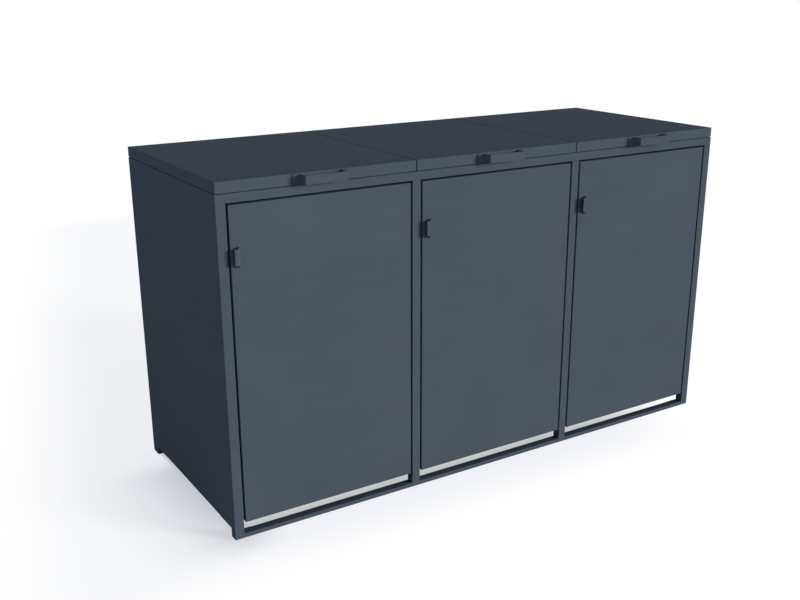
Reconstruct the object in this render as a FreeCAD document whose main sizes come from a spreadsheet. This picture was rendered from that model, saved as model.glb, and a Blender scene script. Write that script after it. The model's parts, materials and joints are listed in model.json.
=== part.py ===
import FreeCAD, Part
import math
import os

import Sketcher
from FreeCAD import Rotation, Vector

# A steel store for three wheeled bins: three bays side by side, each with a door in front that
# turns on concealed hinges at its right edge, and a folded lid on top that turns about the rear
# edge and is held up by a gas strut. All sizes are in millimetres.
#
# Places are written in the store's own directions: x from the left end, y from the front face
# towards the rear, z up from the ground. The model's origin is the middle of the footprint, so
# every piece is shifted by ORIGIN_X and ORIGIN_Y when it is placed.

BAYS = 3

doc = FreeCAD.newDocument("bin_store")
sheet = doc.addObject("Spreadsheet::Sheet", "sizes")


# Sizes that know both their number and the sheet expression that gives it

class Size:
    """A length or an angle: its number, and the expression that works it out from the sheet."""

    def __init__(self, number, text):
        self.number = float(number)
        self.text = text

    def __add__(self, other):
        other = as_size(other)
        return Size(self.number + other.number, f"({self.text} + {other.text})")

    def __sub__(self, other):
        other = as_size(other)
        return Size(self.number - other.number, f"({self.text} - {other.text})")

    def __mul__(self, other):
        other = as_size(other)
        return Size(self.number * other.number, f"({self.text} * {other.text})")

    def __truediv__(self, other):
        other = as_size(other)
        return Size(self.number / other.number, f"({self.text} / {other.text})")

    def __radd__(self, other):
        return as_size(other) + self

    def __rsub__(self, other):
        return as_size(other) - self

    def __rmul__(self, other):
        return as_size(other) * self

    def __neg__(self):
        return Size(-self.number, f"(0 - {self.text})")


def as_size(value):
    if isinstance(value, Size):
        return value
    return Size(value, repr(float(value)))


def hypotenuse(run, rise):
    text = f"sqrt({run.text} * {run.text} + {rise.text} * {rise.text})"
    return Size(math.hypot(run.number, rise.number), text)


def arctangent(opposite, adjacent):
    """The angle in degrees whose tangent is one size over the other."""
    degrees = math.degrees(math.atan2(opposite.number, adjacent.number))
    return Size(degrees, f"atan2({opposite.text}; {adjacent.text})")


sheet_rows = 0


def size(alias, value, meaning):
    """Write one driving dimension into the sheet and return it."""
    global sheet_rows
    sheet_rows += 1
    sheet.set(f"A{sheet_rows}", alias)
    sheet.set(f"B{sheet_rows}", str(value))
    sheet.set(f"C{sheet_rows}", meaning)
    sheet.setAlias(f"B{sheet_rows}", alias)
    return Size(value, f"sizes.{alias}")


# Driving dimensions

WIDTH = size("store_width", 2070, "left end to right end")
DEPTH = size("store_depth", 790, "front face to rear face")
HEIGHT = size("store_height", 1170, "ground to lid top")
GAUGE = size("sheet_gauge", 1.5, "steel sheet of panels, doors and lids")
TUBE = size("tube_wall", 2, "wall of the frame's tubes")
POST_FACE = size("post_face", 32, "width of a front post, with the end panel's edge")
POST_DEEP = size("post_deep", 32, "depth of a front post, the front top rail and the sill")
REAR_DEEP = size("rear_deep", 48, "depth of a rear post and the rear top rail")
RAIL_HIGH = size("rail_high", 28, "height of the top rails")
SILL_HIGH = size("sill_high", 15, "height of the sill bar on the ground")
PANEL_LIFT = size("panel_lift", 30, "ground to lower edge of the side and rear panels")
FLANGE = size("flange", 20, "inward flange at a panel's lower edge")
FLANGE_CLEAR = size("flange_clear", 95, "post corner to the end of that flange")

SKIRT_HIGH = size("skirt_high", 36, "height of a lid's folded skirt")
LID_GAP = size("lid_gap", 1.5, "top rails to lid skirt")
LID_SEAM = size("lid_seam", 2.5, "between two lids")
LID_LIP = size("lid_lip", 10, "inward lip at the lower edge of a lid's skirt")
LID_BEND = size("lid_bend", 2.5, "outer radius of a lid's folded edges")
RIB_HIGH = size("rib_high", 27, "depth of a lid rib's web")
RIB_FLANGE = size("rib_flange", 16, "flange of a lid rib, against the lid")
RIB_INSET = size("rib_inset", 3, "bay side to a lid rib's web")
RIB_MARGIN = size("rib_margin", 45, "lid edge to the end of a rib")

DOOR_GAP = size("door_gap", 6.5, "door edge to post and to top rail")
DOOR_LIFT = size("door_lift", 54, "ground to lower edge of a door")
DOOR_DEEP = size("door_deep", 25, "depth of a door's folded edges")
DOOR_LIP = size("door_lip", 10, "inward lip along a door's folded edges")
DOOR_BEND = size("door_bend", 2, "outer radius of a door's folded edges")
STIFF_WIDE = size("stiffener_wide", 60, "width over the brims of a door's stiffener")
STIFF_HAT = size("stiffener_hat", 34, "width of the stiffener's raised channel")
STIFF_DEEP = size("stiffener_deep", 18, "depth of the stiffener")
STIFF_MARGIN = size("stiffener_margin", 14, "door edge to the end of the stiffener")

PIVOT_SIDE = size("pivot_side", 14, "door's right edge to its hinge axis")
PIVOT_BACK = size("pivot_back", 12, "door's front face to its hinge axis")
HINGE_INSET = size("hinge_inset", 160, "door's top or lower edge to a hinge's middle")
PIN_RADIUS = size("pin_radius", 3, "radius of every hinge pin")
PIN_PLAY = size("pin_play", 0.05, "radial clearance of a pin in a turning knuckle")
PIN_LONG = size("pin_long", 60, "length of every hinge pin")
LEAF_THICK = size("leaf_thick", 2.5, "thickness of a hinge leaf")
KNUCKLE_GAP = size("knuckle_gap", 0.5, "between two knuckles along the pin")
DOOR_KNUCKLE = size("door_knuckle", 5.5, "outer radius of the door hinges' knuckles")
DOOR_LEAF_WIDE = size("door_leaf_wide", 34, "hinge axis to the far edge of a door leaf")
ARM_HIGH = size("arm_high", 24, "height of the gooseneck bracket and its knuckle")
ARM_THICK = size("arm_thick", 4, "thickness of the gooseneck bracket")
ARM_GRIP = size("arm_grip", 15, "bracket's hold on the back of the post")
NOTCH_CLEAR = size("notch_clear", 5, "bracket to the edge of the notch in the door")

LID_KNUCKLE = size("lid_knuckle", 5, "outer radius of the lid hinges' knuckles")
LID_HINGE_OUT = size("lid_hinge_out", 5.5, "rear face to the lid hinge axis")
LID_HINGE_SIDE = size("lid_hinge_side", 110, "lid's side to a lid hinge's middle")
LID_LEAF_HIGH = size("lid_leaf_high", 26, "height of a lid hinge leaf's plate")
LID_LEAF_CLEAR = size("lid_leaf_clear", 6, "lid hinge axis to a leaf's plate")
LID_KNUCKLE_LONG = size("lid_knuckle_long", 22, "length of the middle knuckle")

HANDLE_OUT = size("handle_out", 40, "lid handle in front of the skirt")
HANDLE_LONG = size("handle_long", 148, "lid handle over its legs")
HANDLE_HIGH = size("handle_high", 28, "width of the lid handle's strip")
HANDLE_FOOT = size("handle_foot", 24, "length of each foot of the lid handle")
HANDLE_STRIP = size("handle_strip", 4, "thickness of the lid handle's strip")
HANDLE_DROP = size("handle_drop", 2.5, "lid top to the handle's upper edge")
HANDLE_BEND = size("handle_bend", 4.5, "outer bend radius of the lid handle")

PULL_OUT = size("pull_out", 23, "door pull in front of the door")
PULL_WIDE = size("pull_wide", 26, "width of a door pull at its base")
PULL_OVER = size("pull_over", 2, "top of a door pull's crest up to the top of its base")
PULL_UNDER = size("pull_under", 14, "lower end of its crest down to the lower end of its base")
PULL_CREST_WIDE = size("pull_crest_wide", 11, "width of its raised crest")
PULL_CREST_HIGH = size("pull_crest_high", 51, "height of its raised crest")
PULL_INSET = size("pull_inset", 5, "door's left edge to the pull")
PULL_DROP = size("pull_drop", 154.5, "door's top edge to the middle of the pull's crest")
PULL_WALL = size("pull_wall", 2, "wall of the pull")

MAGNET_WIDE = size("magnet_wide", 14, "width of a magnetic catch")
MAGNET_DEEP = size("magnet_deep", 14, "depth of a magnetic catch")
MAGNET_HIGH = size("magnet_high", 56, "height of a magnetic catch")
MAGNET_AIR = size("magnet_air", 0.4, "catch to the closed door's lip")
MAGNET_TAB = size("magnet_tab", 13, "catch's tab behind the post")
MAGNET_TAB_THICK = size("magnet_tab_thick", 3, "thickness of that tab")

STRUT_SIDE = size("strut_side", 15, "bay side to the strut's middle")
STRUT_FOOT_Y = size("strut_foot_y", 80, "lid hinge axis forward to the strut's foot")
STRUT_FOOT_Z = size("strut_foot_z", 60, "lid hinge axis down to the strut's foot")
STRUT_HEAD_Y = size("strut_head_y", 330, "lid hinge axis forward to the strut's head")
STRUT_HEAD_Z = size("strut_head_z", 17, "lid hinge axis up to the strut's head")
STRUT_STUD = size("strut_stud", 4, "radius of the studs at the strut's ends")
STRUT_EYE = size("strut_eye", 9, "outer radius of the strut's end eyes")
STRUT_EYE_WIDE = size("strut_eye_wide", 8, "width of the end eyes")
STRUT_TUBE = size("strut_tube", 9, "outer radius of the strut's tube")
STRUT_BORE = size("strut_bore", 7.5, "inner radius of the strut's tube")
STRUT_ROD = size("strut_rod", 4, "radius of the strut's rod")
STRUT_NECK = size("strut_neck", 5, "radius of the neck between the foot eye and the tube")
STRUT_SHOULDER = size("strut_shoulder", 20, "foot eye to the start of the tube")
STRUT_REST = size("strut_rest", 46, "head eye to the tube's end, lid closed")
STRUT_GLAND = size("strut_gland", 10, "length of the guide that closes the tube")
STRUT_PISTON = size("strut_piston", 8, "length of the strut's piston")
STRUT_SPARE = size("strut_spare", 4, "end of the tube's bore to the piston, lid closed")
STRUT_AIR = size("strut_air", 0.3, "clearance between the strut's head stud and the lid's rib")
PLATE_THICK = size("plate_thick", 3, "thickness of the strut foot plates and anchors")
PLATE_WIDE = size("plate_wide", 44, "width of a strut foot plate")
PLATE_TOP = size("plate_top", 2, "top of the rails to the top of a strut foot plate")
STUD_HEAD = size("stud_head", 6.5, "radius of the studs' heads")
STUD_HEAD_THICK = size("stud_head_thick", 3, "thickness of the studs' heads")

ANCHOR_LEG = size("anchor_leg", 40, "leg length of a rear ground anchor")
ANCHOR_TOE = size("anchor_toe", 20, "leg length of a front ground anchor, behind the sill")
ANCHOR_RISE = size("anchor_rise", 14, "height of a front ground anchor")
ANCHOR_HOLE = size("anchor_hole", 4, "radius of the hole in a ground anchor")
ANCHOR_SIDE = size("anchor_side", 21.5, "bay side to the hole in a ground anchor")
ANCHOR_WIDE = size("anchor_wide", 28, "width of a ground anchor")
BUFFER_HIGH = size("buffer_high", 1.3, "height of a lid buffer pad")
BUFFER_LONG = size("buffer_long", 30, "length of a lid buffer pad")
BUFFER_DEEP = size("buffer_deep", 8, "depth of a lid buffer pad")
BUFFER_SIDE = size("buffer_side", 90, "lid's side to a buffer pad's middle")
RIVET_HEAD = size("rivet_head", 4.5, "radius of a rivet's domed head")
RIVET_DOME = size("rivet_dome", 1.6, "height of a rivet's domed head")
RIVET_SHANK = size("rivet_shank", 2.4, "radius of a rivet's shank")
RIVET_EDGE = size("rivet_edge", 8, "panel edge to its column of rivets")
RIVET_FIRST = size("rivet_first", 90, "ground to the lowest rivet")
RIVET_SPREAD = size("rivet_spread", 180, "between rivets along the rear top rail")

# Worked out from them

ORIGIN_X = -WIDTH / 2
ORIGIN_Y = -(DEPTH + LID_HINGE_OUT + LID_KNUCKLE - HANDLE_OUT) / 2
BODY_TOP = HEIGHT - SKIRT_HIGH - LID_GAP
RAIL_LOW = BODY_TOP - RAIL_HIGH
LID_LOW = HEIGHT - SKIRT_HIGH
BAY_WIDE = (WIDTH - POST_FACE * (BAYS + 1)) / BAYS
PITCH = BAY_WIDE + POST_FACE
DOOR_WIDE = BAY_WIDE - DOOR_GAP * 2
DOOR_TOP = RAIL_LOW - DOOR_GAP
DOOR_HIGH = DOOR_TOP - DOOR_LIFT
PULL_MIDDLE = DOOR_TOP - PULL_DROP
REAR_POST_Y = DEPTH - GAUGE - REAR_DEEP
LID_AXIS_Y = DEPTH + LID_HINGE_OUT
LID_AXIS_Z = BODY_TOP + LID_GAP / 2


def bay_left(bay):
    return POST_FACE + PITCH * bay


def bay_right(bay):
    return bay_left(bay) + BAY_WIDE


def lid_left(bay):
    if bay == 0:
        return as_size(0)
    return bay_left(bay) - POST_FACE / 2 + LID_SEAM / 2


def lid_right(bay):
    if bay == BAYS - 1:
        return WIDTH
    return bay_right(bay) + POST_FACE / 2 - LID_SEAM / 2


def lid_middle(bay):
    return (lid_left(bay) + lid_right(bay)) / 2


# Building blocks

def bind(thing, path, value):
    thing.setExpression(path, as_size(value).text)


def place(thing, x, y, z):
    """Bind a piece's place, given in the store's own directions."""
    bind(thing, "Placement.Base.x", ORIGIN_X + x)
    bind(thing, "Placement.Base.y", ORIGIN_Y + y)
    bind(thing, "Placement.Base.z", z)


def block(name, length, width, height, x, y, z):
    box = doc.addObject("Part::Box", name)
    bind(box, "Length", length)
    bind(box, "Width", width)
    bind(box, "Height", height)
    place(box, x, y, z)
    return box


TURNS = {
    "x": Rotation(Vector(0, 1, 0), 90),
    "y": Rotation(Vector(1, 0, 0), -90),
    "z": Rotation(),
}


def cylinder(name, radius, length, direction, x, y, z):
    """A cylinder that starts at a point and runs along +x, +y or +z."""
    rod = doc.addObject("Part::Cylinder", name)
    bind(rod, "Radius", radius)
    bind(rod, "Height", length)
    rod.Placement = FreeCAD.Placement(Vector(), TURNS[direction])
    place(rod, x, y, z)
    return rod


def join(name, pieces):
    fuse = doc.addObject("Part::MultiFuse", name)
    fuse.Shapes = pieces
    fuse.Refine = True
    return fuse


def carve(name, base, tools):
    cut = doc.addObject("Part::Cut", name)
    cut.Base = base
    cut.Tool = tools[0] if len(tools) == 1 else join(name + "_tools", tools)
    cut.Refine = True
    return cut


def group(name, pieces):
    bundle = doc.addObject("Part::Compound", name)
    bundle.Links = pieces
    return bundle


def trace(sketch, points):
    """Draw one closed outline whose corners are bound to the sheet."""
    first = sketch.GeometryCount
    count = len(points)
    corners = [(as_size(x), as_size(y)) for x, y in points]
    for (x, y), (next_x, next_y) in zip(corners, corners[1:] + corners[:1]):
        start = Vector(x.number, y.number, 0)
        end = Vector(next_x.number, next_y.number, 0)
        sketch.addGeometry(Part.LineSegment(start, end), False)
    for index in range(count):
        line = first + index
        following = first + (index + 1) % count
        sketch.addConstraint(Sketcher.Constraint("Coincident", line, 2, following, 1))
    for index, (x, y) in enumerate(corners):
        hold_corner(sketch, first + index, "DistanceX", -2, x)
        hold_corner(sketch, first + index, "DistanceY", -1, y)


def hold_corner(sketch, line, kind, axis, value):
    if value.number == 0:
        sketch.addConstraint(Sketcher.Constraint("PointOnObject", line, 1, axis))
        return
    if value.number > 0:
        row = sketch.addConstraint(Sketcher.Constraint(kind, -1, 1, line, 1, value.number))
        sketch.setExpression(f"Constraints[{row}]", value.text)
        return
    row = sketch.addConstraint(Sketcher.Constraint(kind, line, 1, -1, 1, -value.number))
    sketch.setExpression(f"Constraints[{row}]", (-value).text)


def prism(name, plane, outlines, length, x, y, z, backwards=False):
    """A body padded from closed outlines on one of its own origin planes."""
    body = doc.addObject("PartDesign::Body", name)
    sketch = body.newObject("Sketcher::SketchObject", name + "_outline")
    support = [item for item in body.Origin.OriginFeatures if item.Role == plane]
    sketch.AttachmentSupport = [(support[0], "")]
    sketch.MapMode = "FlatFace"
    for points in outlines:
        trace(sketch, points)
    pad = body.newObject("PartDesign::Pad", name + "_pad")
    pad.Profile = sketch
    bind(pad, "Length", length)
    pad.Reversed = backwards
    sketch.Visibility = False
    place(body, x, y, z)
    return body


def soften(body, name, radius, wanted):
    """Round the edges of a body's last feature that the test picks."""
    doc.recompute()
    tip = body.Tip
    edges = [f"Edge{index + 1}" for index, edge in enumerate(tip.Shape.Edges) if wanted(edge)]
    fillet = body.newObject("PartDesign::Fillet", name)
    fillet.Base = (tip, edges)
    bind(fillet, "Radius", radius)
    return body


def rectangle(left, low, right, high):
    return [(left, low), (right, low), (right, high), (left, high)]


nodes = []


def keep(label, piece):
    """Name a finished piece of the store."""
    piece.Label = label
    nodes.append(piece)
    return piece


# Frame: posts, rails, sill and ground anchors

def tube_upright(name, wide, deep, high, x, y, z):
    inner = rectangle(TUBE, TUBE, wide - TUBE, deep - TUBE)
    return prism(name, "XY_Plane", [rectangle(0, 0, wide, deep), inner], high, x, y, z)


def tube_rearward(name, wide, high, long, x, y, z):
    """A tube that runs from front to rear; its outline lies in the XZ plane."""
    inner = rectangle(TUBE, TUBE, wide - TUBE, high - TUBE)
    return prism(name, "XZ_Plane", [rectangle(0, 0, wide, high), inner], long, x, y, z, backwards=True)


def tube_sideways(name, deep, high, long, x, y, z):
    inner = rectangle(TUBE, TUBE, deep - TUBE, high - TUBE)
    return prism(name, "YZ_Plane", [rectangle(0, 0, deep, high), inner], long, x, y, z)


END_FACE = POST_FACE - GAUGE
POSTS = [
    ("left_post", END_FACE, GAUGE),
    ("mid_post_1", POST_FACE, bay_right(0)),
    ("mid_post_2", POST_FACE, bay_right(1)),
    ("right_post", END_FACE, bay_right(BAYS - 1)),
]


def make_posts():
    for name, wide, x in POSTS:
        front = tube_upright("front_" + name, wide, POST_DEEP, RAIL_LOW - SILL_HIGH, x, 0, SILL_HIGH)
        keep("front_" + name, front)
    plain = {}
    for name, wide, x in POSTS:
        plain[name] = tube_upright("plain_rear_" + name, wide, REAR_DEEP, RAIL_LOW, x, REAR_POST_Y, 0)
    return plain


def make_rails():
    inner_long = WIDTH - GAUGE * 2
    front = tube_sideways("front_top_rail", POST_DEEP, RAIL_HIGH, inner_long, GAUGE, 0, RAIL_LOW)
    keep("front_top_rail", front)
    rear = tube_sideways("plain_rear_rail", REAR_DEEP, RAIL_HIGH, inner_long, GAUGE, REAR_POST_Y, RAIL_LOW)
    long = REAR_POST_Y - POST_DEEP
    for name, (_, wide, x) in zip(("left", "mid_1", "mid_2", "right"), POSTS):
        label = f"{name}_top_rail"
        keep(label, tube_rearward(label, wide, RAIL_HIGH, long, x, POST_DEEP, RAIL_LOW))
    return rear


def make_sill():
    keep("front_sill", block("front_sill", WIDTH, POST_DEEP, SILL_HIGH, 0, 0, 0))


def anchor(tag, foot, upright, hole_x, hole_y):
    """An angle bracket of two legs, with a hole for a ground screw in the one that lies down."""
    hole = cylinder("anchor_hole_" + tag, ANCHOR_HOLE, PLATE_THICK * 3, "z", hole_x, hole_y, -PLATE_THICK)
    return carve("anchor_" + tag, join("anchor_angle_" + tag, [foot, upright]), [hole])


def make_anchors():
    """One behind each end of the sill, and one on the inner face of each rear end post."""
    pieces = []
    rear_y = REAR_POST_Y + REAR_DEEP / 2
    ends = (
        ("left", bay_left(0) + ANCHOR_SIDE, bay_left(0), bay_left(0)),
        ("right", bay_right(BAYS - 1) - ANCHOR_SIDE, bay_right(BAYS - 1) - PLATE_THICK,
         bay_right(BAYS - 1) - ANCHOR_LEG),
    )
    for side, hole_x, upright_x, foot_x in ends:
        tag = "front_" + side
        x = hole_x - ANCHOR_WIDE / 2
        foot = block("anchor_foot_" + tag, ANCHOR_WIDE, ANCHOR_TOE, PLATE_THICK, x, POST_DEEP, 0)
        upright = block("anchor_up_" + tag, ANCHOR_WIDE, PLATE_THICK, ANCHOR_RISE, x, POST_DEEP, 0)
        hole_y = POST_DEEP + (PLATE_THICK + ANCHOR_TOE) / 2
        pieces.append(anchor(tag, foot, upright, hole_x, hole_y))

        tag = "rear_" + side
        y = rear_y - ANCHOR_WIDE / 2
        foot = block("anchor_foot_" + tag, ANCHOR_LEG, ANCHOR_WIDE, PLATE_THICK, foot_x, y, 0)
        upright = block("anchor_up_" + tag, PLATE_THICK, ANCHOR_WIDE, ANCHOR_LEG, upright_x, y, 0)
        pieces.append(anchor(tag, foot, upright, hole_x, rear_y))
    keep("ground_anchors", group("ground_anchors", pieces))


# Side and rear panels, and the rivets that hold the rear ones

PANEL_HIGH = BODY_TOP - PANEL_LIFT


def make_side_panels():
    """Sheets that cover the end posts, with a leg on the sill and one on the ground at the rear."""
    flange_y = POST_DEEP + FLANGE_CLEAR
    flange_long = REAR_POST_Y - FLANGE_CLEAR - flange_y
    for side, x, flange_x in (("left", as_size(0), as_size(0)), ("right", WIDTH - GAUGE, WIDTH - FLANGE)):
        label = f"{side}_side_panel"
        skin = block(label + "_skin", GAUGE, DEPTH, PANEL_HIGH, x, 0, PANEL_LIFT)
        fold = block(label + "_fold", FLANGE, flange_long, GAUGE, flange_x, flange_y, PANEL_LIFT)
        front_leg = block(label + "_front_leg", GAUGE, POST_DEEP, PANEL_LIFT - SILL_HIGH, x, 0, SILL_HIGH)
        rear_leg = block(label + "_rear_leg", GAUGE, DEPTH - REAR_POST_Y, PANEL_LIFT, x, REAR_POST_Y, 0)
        keep(label, join(label, [skin, fold, front_leg, rear_leg]))


def panel_edges(bay):
    left = GAUGE if bay == 0 else lid_left(bay)
    right = WIDTH - GAUGE if bay == BAYS - 1 else lid_right(bay)
    return left, right


def rivet_places():
    """Where the rivets sit in the rear face: each panel's two columns, and three along its rail."""
    top = BODY_TOP - RAIL_HIGH / 2
    last = top - RIVET_SPREAD / 2
    rows = max(2, round((last - RIVET_FIRST).number / RIVET_SPREAD.number) + 1)
    spots = []
    for bay in range(BAYS):
        left, right = panel_edges(bay)
        for x in (left + RIVET_EDGE, right - RIVET_EDGE):
            for row in range(rows):
                spots.append((x, RIVET_FIRST + (last - RIVET_FIRST) * row / (rows - 1)))
        for step in range(-1, 2):
            spots.append((lid_middle(bay) + RIVET_SPREAD * step, top))
    return spots


def make_rivet(tag, x, z):
    """A domed head outside the panel, and a shank through the panel and the tube's wall."""
    ball = (RIVET_HEAD * RIVET_HEAD + RIVET_DOME * RIVET_DOME) / (RIVET_DOME * 2)
    dome = doc.addObject("Part::Sphere", "rivet_dome_" + tag)
    bind(dome, "Radius", ball)
    bind(dome, "Angle1", arctangent(ball - RIVET_DOME, RIVET_HEAD))
    dome.Placement = FreeCAD.Placement(Vector(), TURNS["y"])
    place(dome, x, DEPTH + RIVET_DOME - ball, z)
    shank = cylinder("rivet_shank_" + tag, RIVET_SHANK, GAUGE + TUBE, "y", x, DEPTH - GAUGE - TUBE, z)
    return join("rivet_" + tag, [dome, shank])


def make_rear(plain_posts, plain_rail):
    rivets = []
    drills = []
    for number, (x, z) in enumerate(rivet_places()):
        rivets.append(make_rivet(f"{number}", x, z))
        drills.append(cylinder(f"drill_{number}", RIVET_SHANK, GAUGE + TUBE * 2, "y",
                               x, DEPTH - GAUGE - TUBE * 2, z))
    keep("rear_panel_rivets", group("rear_panel_rivets", rivets))
    holes = group("rivet_holes", drills)

    for name, piece in plain_posts.items():
        keep("rear_" + name, carve("rear_" + name, piece, [holes]))
    keep("rear_top_rail", carve("rear_top_rail", plain_rail, [holes]))

    for bay in range(BAYS):
        label = f"rear_panel_{bay + 1}"
        left, right = panel_edges(bay)
        skin = block(label + "_skin", right - left, GAUGE, PANEL_HIGH, left, DEPTH - GAUGE, PANEL_LIFT)
        fold = block(label + "_fold", BAY_WIDE - DOOR_GAP * 2, FLANGE, GAUGE,
                     bay_left(bay) + DOOR_GAP, DEPTH - FLANGE, PANEL_LIFT)
        keep(label, carve(label, join(label + "_plain", [skin, fold]), [holes]))


# Doors

HINGE_HEIGHTS = (DOOR_LIFT + HINGE_INSET, DOOR_TOP - HINGE_INSET)


def door_left(bay):
    return bay_left(bay) + DOOR_GAP


def door_right(bay):
    return bay_right(bay) - DOOR_GAP


def pivot_x(bay):
    return door_right(bay) - PIVOT_SIDE


def is_upright(edge):
    ends = [vertex.Point for vertex in edge.Vertexes]
    return len(ends) == 2 and abs(ends[0].x - ends[1].x) < 1e-6 and abs(ends[0].y - ends[1].y) < 1e-6


def make_door_panel(bay):
    """A tray folded from one sheet: skin, four edges, inward lips, notches for the hinges."""
    label = f"door_panel_{bay + 1}"
    left = door_left(bay)
    blank = prism(label + "_blank", "XY_Plane", [rectangle(0, 0, DOOR_WIDE, DOOR_DEEP)], DOOR_HIGH,
                  left, 0, DOOR_LIFT)
    soften(blank, label + "_bends", DOOR_BEND, lambda edge: all(abs(v.Y) < 1e-6 for v in edge.Vertexes))
    hollow = block(label + "_hollow", DOOR_WIDE - GAUGE * 2, DOOR_DEEP - GAUGE * 2, DOOR_HIGH - GAUGE * 2,
                   left + GAUGE, GAUGE, DOOR_LIFT + GAUGE)
    mouth = block(label + "_mouth", DOOR_WIDE - DOOR_LIP * 2, DOOR_DEEP, DOOR_HIGH - DOOR_LIP * 2,
                  left + DOOR_LIP, GAUGE * 2, DOOR_LIFT + DOOR_LIP)
    notch_high = ARM_HIGH + NOTCH_CLEAR * 2
    notches = []
    for number, height in enumerate(HINGE_HEIGHTS):
        notches.append(block(f"{label}_notch_{number}", DOOR_LIP * 2, DOOR_DEEP, notch_high,
                             door_right(bay) - DOOR_LIP - PIN_RADIUS, GAUGE, height - notch_high / 2))
    return keep(label, carve(label, blank, [hollow, mouth] + notches))


def make_door_stiffener(bay):
    """A hat-shaped channel behind the middle of the door's skin."""
    label = f"door_stiffener_{bay + 1}"
    brim = (STIFF_WIDE - STIFF_HAT) / 2
    far = STIFF_WIDE - brim
    points = [
        (0, 0), (brim + GAUGE, 0), (brim + GAUGE, STIFF_DEEP - GAUGE), (far - GAUGE, STIFF_DEEP - GAUGE),
        (far - GAUGE, 0), (STIFF_WIDE, 0), (STIFF_WIDE, GAUGE), (far, GAUGE),
        (far, STIFF_DEEP), (brim, STIFF_DEEP), (brim, GAUGE), (0, GAUGE),
    ]
    x = door_left(bay) + DOOR_WIDE / 2 - STIFF_WIDE / 2
    channel = prism(label, "XY_Plane", [points], DOOR_HIGH - STIFF_MARGIN * 2,
                    x, GAUGE, DOOR_LIFT + STIFF_MARGIN)
    return keep(label, channel)


def wedge(name, wide, crest_wide, crest_high, out, x, z):
    """A block that stands out of the door, from a wide base to a smaller crest at its left edge.

    It is turned over to face forwards, so the end that it calls its lowest is its top.
    """
    hood = doc.addObject("Part::Wedge", name)
    limits = {
        "Xmin": as_size(0), "Xmax": wide, "Ymin": as_size(0), "Ymax": out,
        "Zmin": -(crest_high / 2 + PULL_OVER), "Zmax": crest_high / 2 + PULL_UNDER,
        "X2min": as_size(0), "X2max": crest_wide, "Z2min": -crest_high / 2, "Z2max": crest_high / 2,
    }
    for limit, value in limits.items():
        setattr(hood, limit, value.number)
        bind(hood, limit, value)
    hood.Placement = FreeCAD.Placement(Vector(), Rotation(Vector(1, 0, 0), 180))
    place(hood, x, 0, z)
    return hood


def make_door_pull(bay):
    """A tab bent from plate, welded on along its right edge and open on its other sides."""
    label = f"door_pull_{bay + 1}"
    x = door_left(bay) + PULL_INSET
    outer = wedge(label + "_outer", PULL_WIDE, PULL_CREST_WIDE, PULL_CREST_HIGH, PULL_OUT,
                  x, PULL_MIDDLE)
    inner = wedge(label + "_inner", PULL_WIDE - PULL_WALL * 2, PULL_CREST_WIDE - PULL_WALL / 2,
                  PULL_CREST_HIGH + PULL_UNDER * 2, PULL_OUT - PULL_WALL, x, PULL_MIDDLE)
    return keep(label, carve(label, outer, [inner]))


def make_door_leaves(bay):
    """Two leaves inside the door, each a plate, a web and two rolled knuckles."""
    pieces = []
    x = pivot_x(bay)
    knuckle_long = (PIN_LONG - ARM_HIGH) / 2 - KNUCKLE_GAP * 2
    plate_wide = DOOR_LEAF_WIDE - DOOR_KNUCKLE
    for number, height in enumerate(HINGE_HEIGHTS):
        tag = f"door_leaf_{bay}_{number}"
        low = height - PIN_LONG / 2 + KNUCKLE_GAP
        upper = height + ARM_HIGH / 2 + KNUCKLE_GAP
        plate = block(tag + "_plate", plate_wide, LEAF_THICK, PIN_LONG - KNUCKLE_GAP * 2,
                      x - DOOR_LEAF_WIDE, GAUGE, low)
        solids = [plate]
        bores = []
        for end, start in (("low", low), ("high", upper)):
            solids.append(block(f"{tag}_web_{end}", LEAF_THICK, PIVOT_BACK - GAUGE, knuckle_long,
                                x - DOOR_KNUCKLE, GAUGE, start))
            solids.append(cylinder(f"{tag}_knuckle_{end}", DOOR_KNUCKLE, knuckle_long, "z",
                                   x, PIVOT_BACK, start))
            bores.append(cylinder(f"{tag}_bore_{end}", PIN_RADIUS + PIN_PLAY, knuckle_long, "z",
                                  x, PIVOT_BACK, start))
        pieces.append(carve(tag, join(tag + "_solid", solids), bores))
    label = f"door_hinge_leaves_{bay + 1}"
    return keep(label, group(label, pieces))


def make_door_brackets():
    """Gooseneck brackets: they hold the back of the post and reach round the door's edge."""
    pieces = []
    for bay in range(BAYS):
        x = pivot_x(bay)
        grip_to = bay_right(bay) + ARM_GRIP
        for number, height in enumerate(HINGE_HEIGHTS):
            tag = f"bracket_{bay}_{number}"
            low = height - ARM_HIGH / 2
            grip = block(tag + "_grip", grip_to - x + ARM_THICK / 2, ARM_THICK, ARM_HIGH,
                         x - ARM_THICK / 2, POST_DEEP, low)
            neck = block(tag + "_neck", ARM_THICK, POST_DEEP + ARM_THICK - PIVOT_BACK, ARM_HIGH,
                         x - ARM_THICK / 2, PIVOT_BACK, low)
            knuckle = cylinder(tag + "_knuckle", DOOR_KNUCKLE, ARM_HIGH, "z", x, PIVOT_BACK, low)
            bore = cylinder(tag + "_bore", PIN_RADIUS, ARM_HIGH, "z", x, PIVOT_BACK, low)
            pieces.append(carve(tag, join(tag + "_solid", [grip, neck, knuckle]), [bore]))
    keep("door_hinge_brackets", group("door_hinge_brackets", pieces))


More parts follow.
